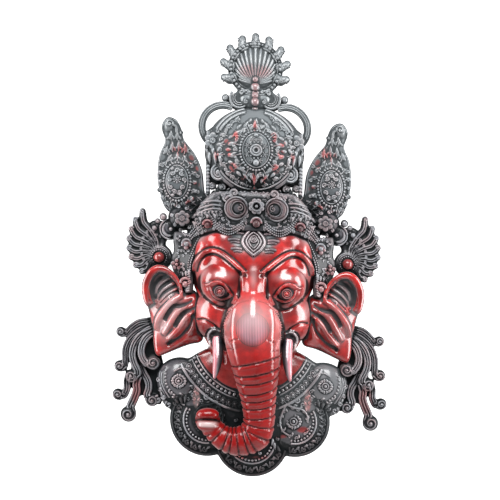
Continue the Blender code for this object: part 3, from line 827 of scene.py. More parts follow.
# face and trunk
faceSettings = {
    "brow": [(13, -100), (22, -91), (34, -81), (44, -74.5), (53, -72), (63, -73.5), (72, -80),
             (78, -89), (81, -99)],
    "browRadius": 3.7,
    "socketRim": [(81, -99), (80, -113), (75.5, -126), (68, -134)],
    "upperLid": [(29, -131.5), (33.5, -122.5), (40, -115.6), (47.5, -112.6), (55, -114.2),
                 (61, -117.6), (67, -117.8)],
    "lowerLid": [(29, -131.5), (35, -135.4), (41.5, -136.9), (48, -135.4), (54, -130),
                 (56.5, -121)],
    "lidCrease": [(33, -129), (38, -122.5), (44, -118.4), (50, -118.4), (56, -121)],
    "bagCrease": [(19.5, -130), (24.5, -139.5), (33, -145.4), (43, -147.2), (53, -144),
                  (61.5, -138.2), (68, -131)],
    "iris": (44.9, -125.9, 6.6),
    "smile": [(46, -178), (51, -172.5), (58, -168.2), (66, -164.8), (75, -165.5)],
    "rootEdge": [(6, -136), (18, -139.6), (30, -149.5), (37, -160), (42, -175), (41, -188)],
    "browEnd": [(11, -101.5), (9.5, -104), (13, -104.5)],
    "noseSide": [(19, -100), (19.5, -110), (19.5, -120), (20.5, -130)],
    "cheekEdge": [(84, -92), (85.5, -104), (83, -117), (78, -129)],
    "trunkEdge": [(43, -182), (41.5, -196), (40, -210), (38.5, -224)],
    "upperWrinkle": [(20, -187.5), (24, -188.6), (30, -191)],
    "lowerWrinkle": [(26, -202), (31, -201.5), (35, -202.5)],
    "jowl": [(60, -181), (64, -190), (62, -200)],
    "eye": [(32.5, -131), (36, -125.8), (41.5, -120.4), (48, -118.6), (54, -121), (54, -126),
            (50, -131.5), (44, -134.2), (37, -133)],
    "tuskSocket": (50.5, -187.0),
    "score": (-0.5, -174.0, 22.5),
    "voxel": 0.00148,
    "coreVoxel": 0.002,
    "ringGap": 12.6,
    "ringStart": 94.0,
    "ringCount": 19,
}


def patches(co, spots):
    # soft-edged patches, each (x, z, half width, half height), on both sides
    out = np.zeros(len(co))
    for x, z, w, h in spots:
        away = np.hypot((np.abs(co[:, 0]) - x) / w, (co[:, 2] - z) / h)
        out = np.maximum(out, np.clip((1.25 - away) / 0.5, 0, 1))
    return out


def glows(co, spots):
    # patches of painted highlight that fade out slowly, each with its strength
    out = np.zeros(len(co))
    for x, z, w, h, strength in spots:
        away = np.hypot((np.abs(co[:, 0]) - x) / w, (co[:, 2] - z) / h)
        out = np.maximum(out, strength * np.exp(-1.3 * away ** 2))
    return out


def awayFrom(co, x, z):
    # the distance from each point to (x, z), or to its mirror image on the other side
    return np.hypot(np.abs(co[:, 0]) - x, co[:, 2] - z)


def insideRing(co, ring):
    # which points lie inside a closed outline, seen from the front
    inside = np.zeros(len(co), dtype=bool)
    x, z = co[:, 0], co[:, 2]
    for (ax, az), (bx, bz) in zip(ring, ring[1:] + ring[:1]):
        if az == bz:
            continue
        crosses = (az > z) != (bz > z)
        inside ^= crosses & (x < (bx - ax) * (z - az) / (bz - az) + ax)
    return inside


def addFaceFeatures(heap, on):
    s = faceSettings
    brow = smoothLine(s["brow"], 5)
    heap.strand([(x, on(x, z) + 1.2, z, s["browRadius"]) for x, z in brow], True)
    ridge(heap, on, smoothLine(s["socketRim"]), 4.0, -1.2, 0.5, True)
    ridge(heap, on, smoothLine(s["upperLid"], 5), 1.7, 1.2, 0.35, True)
    ridge(heap, on, smoothLine(s["lowerLid"], 5), 1.5, 0.5, 0.1, True)
    x, z = s["iris"][:2]
    heap.ball(x - 1.5, on(x, z) - 2.4, z + 0.6, (12.0, 4.6, 8.4), -14, True)
    arch = arcLine(50, -188, 9.6, 9.6, -30, 210, 17)
    heap.level(arch, 58, 2.6, True)
    heap.ball(49, 46, -189, (11.5, 13, 10.5), mirror=True)


def trunkCreases(mesh, ink):
    # ring creases square to the trunk's centre line, measured along it
    co, normal = meshArrays(mesh)
    line = np.array(smoothLine(shapes["trunk"], 12))
    centre = line[:, :3]
    lengths = np.concatenate([[0], np.cumsum(np.linalg.norm(np.diff(centre, axis=0), axis=1))])
    near = np.flatnonzero((co[:, 1] > 22) & (co[:, 2] < -196) & (np.abs(co[:, 0]) < 80))
    along = np.empty(len(near))
    away = np.empty(len(near))
    for part in np.array_split(np.arange(len(near)), max(1, len(near) // 4000)):
        d = np.linalg.norm(co[near[part]][:, None, :] - centre[None], axis=2) - line[None, :, 3]
        best = d.argmin(axis=1)
        tangent = centre[np.minimum(best + 1, len(centre) - 1)] - centre[np.maximum(best - 1, 0)]
        tangent /= np.linalg.norm(tangent, axis=1)[:, None]
        offset = ((co[near[part]] - centre[best]) * tangent).sum(axis=1)
        along[part] = lengths[best] + offset
        away[part] = d.min(axis=1)
    lean = (co[near, 0] - 6) * 0.10 * (co[near, 2] > -300)
    tip = shapes["trunkTip"]
    clearOfTip = np.hypot(co[near, 0] - tip[0], co[near, 2] - tip[2]) > 19
    s = faceSettings
    for k in range(s["ringCount"]):
        at = s["ringStart"] + s["ringGap"] * min(k, 8) + 9.5 * max(0, k - 8) + 1.2 * math.sin(k * 2.3)
        gap = along + lean - at
        hit = np.where(away < 6, np.exp(-(gap / 1.1) ** 2), 0) * clearOfTip
        swell = np.where(away < 6, np.exp(-((gap - 3.2) / 1.8) ** 2), 0) * clearOfTip
        co[near] -= normal[near] * (hit * 1.9 - swell * 0.6)[:, None] * np.array([1, -1, 1])
        ink[near] = np.maximum(ink[near], hit)
    setArrays(mesh, co)
    return ink


def makeFace():
    s = faceSettings
    core = Heap()
    addHead(core)
    core.strand(smoothLine(shapes["trunk"], 6))
    x, depth, z = shapes["trunkTip"]
    skin = core.fused(s["coreVoxel"], 30)
    base = Heap()
    base.skins.append(skin)
    base.ball(x, depth + 1, z + 7.5, (15.8, 12, 8.8), 4)
    base.ball(x + 0.5, depth + 2, z - 6.5, (15.2, 12, 9.6), -3)
    base.ball(x, depth - 4, z, (17, 10, 16))
    addFaceFeatures(base, Surface(skin).depth)
    mesh = cutFlatBack(base.fused(s["voxel"], 4), hollow=True)
    brow = smoothLine(s["brow"], 5)
    upper, lower = smoothLine(s["upperLid"], 5), smoothLine(s["lowerLid"], 5)
    ink = carveLines(mesh, [
        (offsetLine(brow, 4.9), 1.3, 1.6, 1.0),
        (offsetLine(brow, -4.9), 1.5, 1.9, 1.0),
        (smoothLine(s["browEnd"], 3), 1.4, 1.2, 1.0),
        (offsetLine(upper, 2.6)[2:], 1.1, 1.3, 1.0),
        (smoothLine(s["lidCrease"], 5), 1.3, 1.2, 1.0),
        (offsetLine(lower, 2.3)[4:-2], 1.0, 1.0, 0.9),
        (offsetLine(lower, -2.6)[4:], 1.2, 0.8, 0.5),
        # the bag crease and the side of the nose are soft, wide and faint: painted shade under the
        # eye and on the socket's inner side
        (smoothLine(s["bagCrease"], 5), 2.0, 1.6, 0.4),
        (smoothLine(s["noseSide"], 5), 3.4, 3.0, 0.35),
        (smoothLine(s["cheekEdge"], 5), 1.5, 1.6, 0.8),
        (smoothLine(s["smile"], 5), 1.6, 2.2, 1.0),
        (smoothLine(s["rootEdge"], 5), 1.0, 0.7, 0.22),
        (smoothLine(s["trunkEdge"], 5), 2.0, 2.0, 0.8),
        (smoothLine(s["upperWrinkle"], 3), 1.0, 1.2, 0.8),
        (smoothLine(s["lowerWrinkle"], 3), 0.9, 0.8, 0.6),
        (smoothLine(s["jowl"], 4), 3.0, 1.6, 0.5)])
    ink = trunkCreases(mesh, ink)
    co, normal = meshArrays(mesh)
    # the neck's back stays clear of the breastplate's back
    co[:, 1] = np.where(co[:, 2] < -195, np.maximum(co[:, 1], 0.6), co[:, 1])
    tip = np.hypot(co[:, 0] - x, co[:, 2] - z)
    slitLine = z + 1.8 - 0.012 * (co[:, 0] - x) ** 2
    slit = np.where((tip < 17.5) & (co[:, 1] > depth - 6),
                    np.exp(-((co[:, 2] - slitLine) / 2.0) ** 2), 0)
    co[:, 1] -= 3.0 * slit * (normal[:, 1] < 0)
    ink = np.maximum(ink, slit)
    setArrays(mesh, co)
    lowerLip = np.where((tip < 16.5) & (co[:, 1] > depth + 2),
                        np.exp(-((co[:, 2] - z + 4.8) / 3.6) ** 4
                               - ((co[:, 0] - x) / 12) ** 4), 0)
    # slate shows through above the hairline and round the mark on the forehead
    hair = -47 - 15 * np.clip((np.abs(co[:, 0]) - 52) / 32, 0, 1)
    red = np.clip((hair - co[:, 2]) / 7 + 0.5, 0, 1)
    bars = np.hypot(co[:, 0] / 34, (co[:, 2] + 54) / 17)
    mark = np.abs(co[:, 0]) / 20 + np.abs(co[:, 2] + 56) / 27
    red *= np.clip((np.minimum(bars, mark) - 1) / 0.3 + 0.6, 0, 1)
    folded = np.concatenate([np.abs(co[:, :1]), co[:, 1:]], axis=1)
    eye = insideRing(folded, smoothRing(s["eye"], 4))
    red = np.where(eye, 0.06, red)
    ink = np.where(eye, np.maximum(ink, 0.9), ink)
    # the sockets of the tusks: a slate collar, black inside it as painted shade round the tusk's root
    socket = awayFrom(co, *s["tuskSocket"])
    collar = (socket < 13.2) & (co[:, 1] > 46) & (folded[:, 0] > 41)
    red = np.where(collar, 0.1, red)
    ink = np.where(collar & (socket < 8.5), np.maximum(ink, 0.9), ink)
    return mesh, ink, red * (1 - 0.6 * lowerLip), lowerLip


def faceDetails(on):
    heap = Heap()
    for points, radius, lift in (
        ([(0, -40.5), (8.5, -47), (14.6, -57.5), (9.5, -68), (0, -76)], 2.2, 1.0),
        ([(0, -45.4), (6, -50), (9.8, -57.5), (6.2, -65.5), (0, -71.5)], 1.5, 1.2),
        ([(0, -49.5), (4, -52.5), (6.4, -57.5), (4.0, -63), (0, -67)], 1.1, 1.2),
    ):
        ridge(heap, on, smoothLine(points, 5), radius, lift, mirror=True)
    for radius, strand in ((4.4, 1.0), (2.3, 0.8)):
        ridge(heap, on, arcLine(0, -54.5, radius, radius, 0, 360, 19), strand, 1.8)
    heap.bead(0, on(0, -54.5) + 2.2, -54.5, 1.5)
    for z, near, far in ((-44.5, 13.5, 26), (-56.5, 18.5, 34), (-68.5, 15.5, 30)):
        for shift, radius in ((0, 2.0), (-3.4, 1.5)):
            ridge(heap, on, smoothLine([(near, z + shift), ((near + far) / 2, z + shift + 0.9),
                                        (far - abs(shift), z + shift)], 4), radius, 0.8, 0.15,
                  mirror=True)
    x, z, radius = faceSettings["iris"]
    for ringRadius, strand, lift in ((radius - 0.6, 0.9, 0.3), (radius * 0.56, 0.8, 0.9)):
        ring = arcLine(x, z, ringRadius, ringRadius, 0, 360, 25)
        heap.level(ring, on(x, z) + 1.8 + lift, strand, True)
    heap.ball(x, on(x, z) + 1.4, z, (2.6, 2.6, 2.6), mirror=True)
    # short strokes of hair beside the trunk's root
    rand = random.Random(4)
    edge = smoothLine([(24, -142), (33, -151), (39.5, -163), (43, -177), (42, -190)], 4)
    for x, z in edge:
        reach = 6 + 3 * rand.random()
        ridge(heap, on, smoothLine([(x - reach * 0.75, z + reach * 0.35), (x - reach * 0.2,
                                    z + reach * 0.2), (x + 0.8, z - reach * 0.6)], 3),
              0.75, -0.1, 0.4, True)
    return heap.gathered()


faceMesh, faceInk, faceRed, faceLip = makeFace()
extra = faceDetails(Surface(faceMesh).depth)
extraCo = meshArrays(extra)[0]
nearMark = (np.abs(extraCo[:, 0]) < 37) & (extraCo[:, 2] > -77)
iris = awayFrom(extraCo, *faceSettings["iris"][:2])
irisRing = (iris > 3.2) & (iris < 9)
extraRed = np.where(nearMark, 0.12, np.where(irisRing, 0.6, 1.0))
faceAll, faceCo = joined(faceMesh, extra)[:2]
markX, markZ, markRadius = faceSettings["score"]
inMark = np.clip((markRadius - np.hypot(faceCo[:, 0] - markX, faceCo[:, 2] - markZ)) / 9, 0, 1)
# painted highlights on the eye bulges, nose bridge, cheeks, forehead corners and the trunk's top
bloom = glows(faceCo, [(42, -104, 16, 6, 0.35), (0, -108, 5, 14, 0.4), (72, -150, 7, 18, 0.3),
                       (74, -54, 10, 10, 0.35), (0, -160, 30, 26, 0.5), (67, -102, 10, 8, 0.25),
                       (66, -137, 9, 6, 0.2)])
paint(faceAll,
      ink=np.concatenate([faceInk, np.where(irisRing, 0.5, 0.0)]),
      red=np.concatenate([faceRed, extraRed]),
      pale=np.concatenate([faceLip, np.zeros(len(extraCo))]),
      score=inMark * (faceCo[:, 1] > 70),
      calm=(faceCo[:, 1] < 40) & (faceCo[:, 2] < -190),
      bloom=bloom * (faceCo[:, 1] > 30),
      deep=np.clip((-196 - faceCo[:, 2]) / 26, 0, 1))
finishPiece("face", faceAll, redLacquer)


# tusks
tuskSettings = {
    "line": [(48, 54, -189, 7.2), (46.4, 62, -204, 7.2), (47.0, 69, -220, 6.4),
             (49.0, 72.5, -234, 4.3), (51.0, 73, -243, 1.6)],
    "voxel": 0.0011,
}


def makeTusks():
    heap = Heap()
    heap.strand(smoothLine(tuskSettings["line"], 6), True)
    return heap.fused(tuskSettings["voxel"], 2)


tuskMesh = makeTusks()
tuskCo = meshArrays(tuskMesh)[0]
tuskLean = np.abs(tuskCo[:, 0]) - 46.4 - 0.10 * np.clip(-212 - tuskCo[:, 2], 0, 40)
paint(tuskMesh, red=np.clip((tuskLean + 1.5) / 3, 0, 1),
      ink=np.clip((-0.5 - tuskLean) / 3, 0, 0.95))
tuskLook = dict(faceLook, redDeep=(0.50, 0.13, 0.16, 1), redBright=(0.62, 0.24, 0.28, 1),
                redWorn=(0.75, 0.45, 0.47, 1), slate=(0.16, 0.15, 0.20, 1), recessGain=0.0)
finishPiece("tusks", tuskMesh, makeLacquer("tuskPaint", tuskLook))


# ears
earSettings = {
    "voxelShare": 1.05,
    "coreVoxel": 0.0022,
    "rim": [(97, -138), (99, -124), (104.6, -112.8), (116, -102), (129, -98.6), (140, -106.5),
            (146.3, -123), (144, -141), (139, -149)],
    "ribs": [  # each rib's line and its radius
        ([(111, -110), (121, -116), (129, -126), (133, -137)], 2.0),
        ([(104, -117), (115, -122), (124, -131), (131, -145)], 2.7),
        ([(99, -124), (109, -129), (120, -139), (131, -152)], 3.6),
        ([(97, -134), (107, -141), (119, -154), (129, -168), (132, -182)], 5.6),
        ([(88, -149), (101, -156), (111, -171), (122, -188)], 5.0),
        ([(81, -157), (92, -166), (102, -181), (116, -196)], 4.6),
    ],
    "hood": [(101.5, -131), (104, -118), (109, -110), (118, -106), (129, -105.5)],
    "grooves": [  # line, width, depth
        ([(119, -108), (128, -113), (136, -124), (138, -140)], 3.4, 6.0),
        ([(114.4, -116), (123, -122), (129, -129), (134, -140)], 1.7, 4.0),
        ([(103, -120.5), (112, -125), (122, -132), (129, -141)], 1.5, 3.2),
        ([(98, -127), (108, -131), (117, -137), (126, -146)], 1.6, 3.4),
        ([(84, -140), (96, -146.5), (107, -150), (114.5, -159), (119.5, -168)], 2.4, 4.5),
        ([(81, -151), (92, -156.5), (99.6, -165), (105.5, -176)], 2.1, 4.0),
        ([(79.5, -161), (83.5, -171), (90, -182), (99, -193), (115, -202)], 2.9, 5.5),
    ],
}


def makeEars():
    core = Heap()
    addEars(core)
    skin = core.fused(earSettings["coreVoxel"], 34)
    own = Surface(skin)
    base = Heap()
    base.skins.append(skin)
    rim = smoothLine(earSettings["rim"], 5)
    count = len(rim) - 1
    base.strand([(x, 34 - 2 * abs(i / count - 0.5), z, 2.2 + 3.4 * min(1, 1.8 * i / count))
                 for i, (x, z) in enumerate(rim)], True)
    for line, radius in earSettings["ribs"]:
        smooth = smoothLine(line, 5)
        count = len(smooth) - 1
        base.strand([(x, own.depth(x, z) + 0.4, z,
                      radius * (0.45 + 0.55 * math.sin(math.pi * (0.12 + 0.8 * i / count))))
                     for i, (x, z) in enumerate(smooth)], True)
    mesh = cutFlatBack(base.fused(carving["fineVoxel"] * earSettings["voxelShare"], 5))
    grooves = [(smoothLine(line, 6), width, deep, 0.85)
               for line, width, deep in earSettings["grooves"]]
    ink = carveLines(mesh, grooves + [(smoothLine(earSettings["hood"], 5), 1.4, 2.0, 0.9)])
    co = meshArrays(mesh)[0]
    x, z = np.abs(co[:, 0]), co[:, 2]
    inHood = np.hypot((x - 124) / 17, (z + 123) / 20)
    red = np.clip((inHood - 0.6) / 0.5, 0.2, 1)
    red = np.where((z < -142) | (inHood > 1.1), 1.0, red)
    red = np.where(co[:, 1] < 12, 0.25, red)
    # painted shade at the lower end of the rim, on its outer side
    ink = np.maximum(ink, np.clip(1.0 - np.hypot(x - 140, z + 149) / 9, 0, 0.9))
    return mesh, ink, red


earMesh, earInk, earRed = makeEars()
earCo = meshArrays(earMesh)[0]
earBloom = glows(earCo, [(112, -150, 22, 26, 0.5), (122, -172, 14, 26, 0.5),
                         (97, -168, 10, 16, 0.35)])
# grey dust lies in the folds, and the ear on the viewer's left has more of the painted highlight
paint(earMesh, ink=earInk, red=earRed, dust=0.8,
      bloom=earBloom * np.where(earCo[:, 0] < 0, 1.25, 0.35))
finishPiece("ears", earMesh, redLacquer)


# crown band
bandSettings = {
    "voxelShare": 1.35,
    "volutes": (30.0, -23.6),
    "voluteZ": -14.0,
    "middle": 3.3,
    "swag": [(57, -30), (50, -38), (40, -44.5), (31, -45.5), (22, -41), (13, -33)],
    "outerSwag": [(66, -36), (74, -41), (82, -49), (89, -58)],
    "bells": [(62.5, -37), (91, -63.5)],
    "ridges": [  # line, radius, lift
        ([(44, -11), (54, -10), (64, -12), (76, -17), (90, -27)], 1.3, 0.6),
        ([(44, -5.5), (54, -4.5), (64, -6), (76, -10), (88, -19)], 1.4, 0.8),
        ([(44, -16), (54, -15), (64, -17), (75, -22), (88, -31)], 1.3, 0.8)],
    "cupZ": -10.5,
    "hoodZ": -33.5,
}


def makeCrownBand():
    base = Heap()
    addCrownBand(base)
    return cutFlatBack(base.fused(carving["fineVoxel"] * bandSettings["voxelShare"], 2), hollow=True)


def bandDetails():
    heap = Heap()
    s = bandSettings
    for vx in s["volutes"]:
        # a ringed volute, hollow in the middle and broadest on its outer side
        vz, side = s["voluteZ"], math.copysign(1, vx)
        depth = front(vx, vz) + 1.5
        heap.ball(vx, depth - 2.6, vz, (14.6, 4.2, 14.6))
        for radius, strand, lift in ((14.9, 1.4, 1.6), (9.4, 0.9, 2.2)):
            ring = arcLine(vx - side * (15 - radius) * 0.45, vz, radius, radius, 0, 360, 41)
            heap.level(ring, depth + lift, strand)
        bow = arcLine(vx - side * 1.0, vz, 11.6, 11.6, 90 + side * 30, 90 - side * 215, 25)
        heap.crescent(bow, depth + 0.9, 0.9, 2.3)
        curlOn(heap, lambda px, pz: depth, vx - side * 4.6, vz + 0.8, 5.2, 90, side, 1.1, 1.2, 1.2,
               0.8)

    def bandTop(x, z):
        # the curls over the volutes stand as far forward as the band below them
        return front(x, min(z, -2))

    curlOn(heap, bandTop, 26.5, 6.6, 6.8, -60, 1, 2.1, 1.2, 4.5, 1.0, [(38, -2), (34.5, 2)], True)
    curlOn(heap, bandTop, 42, 3, 4.2, -100, -1, 1.7, 1.1, 3.5, 1.0, [(36, -6), (40, -3)], True)
    # the cup flower in the middle, with a hooded ball below it
    mid, cupZ, hoodZ = s["middle"], s["cupZ"], s["hoodZ"]
    depth = front(mid, cupZ - 0.5) + 5
    for a, px, pz in around(mid, cupZ, 7.2, 7.2, 8, 22.5):
        heap.stamp(petalShape, px, depth - 0.5, pz, (3.6, 3.6, 3.8), 90 - a)
    heap.level(arcLine(mid, cupZ, 6.0, 6.0, 0, 360, 25), depth + 3.0, 1.1)
    heap.ball(mid, depth + 1.4, cupZ, (2.2, 3.4, 2.2))
    depth = front(mid, hoodZ + 0.5)
    heap.level(arcLine(mid, hoodZ + 1.5, 6.2, 6.0, -10, 190, 15), depth + 4.5, 1.8)
    heap.ball(mid, depth + 3.5, hoodZ, (5.0, 5.0, 5.0))
    for bx, bz in s["bells"]:
        heap.level(arcLine(bx, bz, 5.6, 5.6, -5, 185, 13), front(bx, bz) + 3.2, 1.9, True)
        heap.ball(bx, front(bx, bz) + 2.0, bz - 0.6, (4.4, 4.4, 4.4), mirror=True)
    for drop in (0, -3.4, 3.4):
        line = smoothLine([(x, z + drop) for x, z in s["swag"]], 5)
        beadRow(heap, front, line, 3.0, 1.45, 0.8, True)
        line = smoothLine([(x + drop * 0.4, z + drop) for x, z in s["outerSwag"]], 5)
        beadRow(heap, front, line, 3.0, 1.45, 0.8, True)
    for line, radius, lift in s["ridges"]:
        ridge(heap, front, smoothLine(line, 4), radius, lift, mirror=True)
    rand = random.Random(7)
    for i in range(190):
        # a ground of small curls between the larger ornament
        x = 8 + 84 * rand.random()
        z = 9 - 52 * rand.random() - 0.012 * max(0, x - 50) ** 2
        looseCurl(heap, front, rand, x, z, 2.8, 0.95, 0.8, 0.3, 0.4)
    for k, x in enumerate((4, 11.5, 19)):
        # curls along the band's top edge
        curlOn(heap, lambda px, pz: front(px, 1.0) - 2, x, 5.5 - 0.03 * x, 4.4, 90, (1, -1)[k % 2],
               1.5, 1.2, 0.2, 0.8, mirror=True)
    for x, z, turn in ((46, 6, 20), (54, 4, 30), (63, 1, 40), (72, -4, 50), (80, -10, 55),
                       (50, -22, 160), (60, -23, 160), (70, -27, 165), (79, -33, 170)):
        spray(heap, front, x, z, turn, 9, 5.0, 0.6, True)
    for x in range(50, 88, 5):
        z = -20.5 - 0.006 * (x - 50) ** 2
        leafOn(heap, front, x, z, 180, 3.4, 2.0, 1.6, 0.2, True)
    return heap.gathered()


bandAll, bandCo, bandBody = joined(makeCrownBand(), bandDetails())
rightVolute, leftVolute = bandSettings["volutes"]
fromVolute = bandCo[:, 0] - np.where(bandCo[:, 0] > 0, rightVolute, leftVolute)
ringAway = np.hypot(fromVolute, bandCo[:, 2] - bandSettings["voluteZ"])
bellX, bellZ = bandSettings["bells"][0]
bellAway = awayFrom(bandCo, bellX, bellZ + 1)
fromMiddle = bandCo[:, 0] - bandSettings["middle"]
hoodAway = np.hypot(fromMiddle, bandCo[:, 2] - bandSettings["hoodZ"])
cupAway = np.hypot(fromMiddle, bandCo[:, 2] - bandSettings["cupZ"])
inRing = (ringAway > 9) & (ringAway < 14) & (cupAway > 9)
bandInk = np.where(ringAway < 15.8, 0.42, 0.3)
bandInk = np.where(inRing, 0.62, bandInk)
bandInk = np.where((cupAway < 5.4) & (cupAway > 2.2), 0.8, bandInk)
bandInk = np.where((hoodAway < 4.6) | (bellAway < 4.4), 0.75, bandInk)
bandRed = np.where(inRing, 0.25, 0.04)
bandRed = np.where((hoodAway < 8) | (bellAway < 8), 0.55, bandRed)
paint(bandAll, ink=np.where(bandBody, 0.62, bandInk), red=np.where(bandBody, 0.04, bandRed))
finishPiece("crownBand", bandAll, crownPatina)


# crown drum with its medallion
drumSettings = {
    "voxelShare": 1.35,
    "medallion": (2.0, 65.8, 21.6, 26.8),
    "crescent": (0.0, 69.0, 60.5),
    "oval": (49.5, 35.5),
    "cord": (43.0, 99.0, 29.5),
    "beadString": 63.3,
}


def makeDrum():
    base = Heap()
    addDrum(base)
    mx, mz, mw, mh = drumSettings["medallion"]
    base.ball(mx, front(mx, mz) - 6, mz, (mw - 1.5, 9.5, mh - 1.5))
    return cutFlatBack(base.fused(carving["fineVoxel"] * drumSettings["voxelShare"], 2))


def medallionDetails(heap, depthAt, mx, mz, mw, mh, mirror=False):
    ring = arcLine(mx, mz, mw, mh, 0, 360, 73)
    for x, z in spaced(ring, 4.1)[:-1]:
        heap.bead(x, depthAt(x, z) + 1.0, z, 1.75, mirror)
    inner = arcLine(mx, mz, mw - 3.6, mh - 3.8, 0, 360, 41)
    ridge(heap, depthAt, inner, 0.9, 0.4, mirror=mirror)


def drumDetails(base):
    on = Surface(base, 9.0).depth
    heap = Heap()
    mx, mz, mw, mh = drumSettings["medallion"]
    medallionDetails(heap, on, mx, mz, mw, mh)
    for radius, strand, lift in ((7.0, 1.4, 1.0), (3.9, 1.3, 1.6)):
        heap.level(arcLine(mx, mz, radius, radius, 0, 360, 27), on(mx, mz) + lift, strand)
    heap.ball(mx, on(mx, mz + 21) + 1.0, mz + 20.5, (3.0, 3.0, 3.0))
    heap.ball(mx, on(mx, mz - 17) + 1.2, mz - 16.5, (4.0, 3.6, 4.4))
    for a, x, z in around(mx, mz, 12.4, 15.0, 8, 22.5):
        rosette(heap, on, x, z, 4.2, 6)
    for a, x, z in around(mx, mz, 9.8, 11.0, 12, 15):
        heap.bead(x, on(x, z) + 0.8, z, 1.1)
    # the wreath: sprays of leaves about the medallion, with curls between them
    for i, (a, x, z) in enumerate(around(mx, mz, 24.5, 29.5, 14, 90)):
        spray(heap, on, x, z, 90 - a, 14.5, 7.0, 0.3)
        a += 180 / 14
        x, z = arcPoint(mx, mz, 28.5, 33.5, a)
        curlOn(heap, on, x, z, 3.6, a + 150, 1 if i % 2 else -1, 1.3, 1.3, 0.8, 0.8)
        x, z = arcPoint(mx, mz, 36.5, 40.5, a)
        leafOn(heap, on, x, z, 90 - a, 5.0, 2.6, 2.2, 0.3)
    for i, (a, x, z) in enumerate(around(mx, mz, 43.5, 45.0, 22, 90)):
        if z > 22 and not (i in (0, 1, 21) and z > 100):
            spray(heap, on, x, z, 90 - a, 10.5, 5.4, 0.3)
            x, z = arcPoint(mx, mz, 49, 50, a + 8.2)
            curlOn(heap, on, x, z, 3.4, a + 90, 1 if i % 2 else -1, 1.2, 1.2, 0.6, 0.8)
    for turn, reach in ((-26, 7.0), (0, 9.5), (26, 7.0)):
        x = 9 * math.sin(math.radians(turn))
        leafOn(heap, on, x, 99 - abs(turn) * 0.1, turn, reach, 2.9, 3.4, 0.8)
        leafOn(heap, on, x, 28 + abs(turn) * 0.1, 180 - turn, reach, 2.9, 3.4, 0.8)
    leafOn(heap, on, 0, 15.5, 0, 5.2, 3.2, 3.0, 0.8)
    for side in (1, -1):
        # broad arched bands over the dome, and dark spears behind them
        for radius, strand in ((59.5, 2.4), (54.5, 2.8)):
            arch = arcLine(0, 64, radius, radius * 1.02, 90 - side * 14, 90 - side * 60, 17)
            ridge(heap, on, arch, strand, 0.6)
        for x, z, turn in ((44, 104, 40), (51, 98, 48), (57, 92, 56)):
            heap.stamp(leafShape, side * x, 13, z, (4.0, 4.0, 9.5), side * turn)
    # crescent band with a coiled oval at each end
    cx, cz, cr = drumSettings["crescent"]
    for radius, strand, lift in ((cr, 1.5, 4.2), (cr - 4.6, 1.2, 4.0), (cr - 2.3, 2.6, 2.4)):
        line = arcLine(cx, cz, radius, radius, -146, -34, 41)
        heap.strand([(x, max(20, on(x, z)) + lift, z, strand) for x, z in line])
    ox, oz = drumSettings["oval"]
    for scale, strand in ((1.0, 1.7), (0.62, 1.3)):
        ring = arcLine(ox, oz, 8.6 * scale, 10.0 * scale, 0, 360, 27)
        heap.level(ring, on(ox, oz) + 3.4, strand, True)
    heap.ball(ox, on(ox, oz) + 2.8, oz, (3.4, 2.6, 4.4), 20, True)
    curlOn(heap, on, 15.5, 19.5, 4.8, 180, 1, 1.5, 1.3, 1.0, 1.0, mirror=True)
    curlOn(heap, on, 29, 28.5, 3.6, 0, 1, 1.3, 1.3, 1.0, 1.0, mirror=True)
    # curls and leaves that hang over the lower edge
    for x, z, r, wind in ((44, 15, 5.4, 1), (57.5, 16.5, 4.6, -1), (33, 10, 4.6, -1),
                          (22, 7.5, 4.2, 1)):
        heap.ball(x, 15, z, (r + 1.4, 5, r + 0.6), mirror=True)
        curlOn(heap, lambda px, pz: 19.5, x, z, r, 90, wind, 1.5, 1.3, 0.4, 0.9, mirror=True)
    for x, z, turn in ((50, 9.5, 170), (38, 5, 175), (28, 3.5, 180), (13, 4, 190)):
        leafOn(heap, lambda px, pz: 16, x, z, turn, 5.5, 3.0, 3.0, 0.4, True)
    # side flowers and the spears below them
    flower(heap, on, 57, 78, 11.5, 6, 3.0, True)
    for x, z, turn, length in ((61, 55, 180, 9), (53, 54, 178, 9.5), (46, 52, 170, 7),
                               (64, 64, 150, 5), (48, 66, 215, 5), (56, 64, 180, 5)):
        leafOn(heap, on, x, z, turn, length, 2.9, 3.2, 1.4, True)
    for x, z in ((60, 92), (50, 91), (66, 86)):
        curlOn(heap, on, x, z, 3.4, 90, -1, 1.2, 1.1, 1.2, 0.8, mirror=True)
    # strings of beads down to the band
    bx = drumSettings["beadString"]
    for i in range(13):
        heap.ball(bx, 20, 43 - 4.75 * i, (2.9, 2.9, 2.6), mirror=True)
    heap.strand([(bx, 14, 92, 3.2), (bx, 15, 20, 3.0), (bx, 18, -19, 3.2)], True)
    # loops of grooved cord at the top
    cx, cz, cr = drumSettings["cord"]
    for offset, strand, depth in ((-3.8, 1.3, 12.6), (-1.3, 1.4, 13.6), (1.3, 1.4, 13.6),
                                  (3.8, 1.3, 12.6), (0.0, 4.9, 4.6), (0.0, 4.9, 8.6)):
        loop = arcLine(cx, cz, cr + offset, cr + offset, 114, -44, 33)
        heap.level(loop, depth, strand, True)
    return heap.gathered()


drumMesh = makeDrum()
drumAll, drumCo, drumBody = joined(drumMesh, drumDetails(drumMesh))
paint(drumAll, ink=np.where(drumBody, 0.22, 0.0), dust=0.12, red=0.75 * patches(drumCo, [
    (0, 28, 2.6, 8), (0, 15.5, 2.6, 5), (14.5, 27, 4, 4), (29, 42, 5, 6), (0, 99, 2.2, 7),
    (26, 84, 4, 7), (36, 62, 4, 6), (38, 76, 4, 4), (52, 58, 3, 6)]))
finishPiece("crownDrum", drumAll, crownPatina)


# finial
finialSettings = {
    "flames": 9,
    "step": 27.6,  # degrees from one flame to the next
    "tip": 44.5,
    "scroll": (21.5, 138.5),
    "knob": (40.5, 138.6),
}


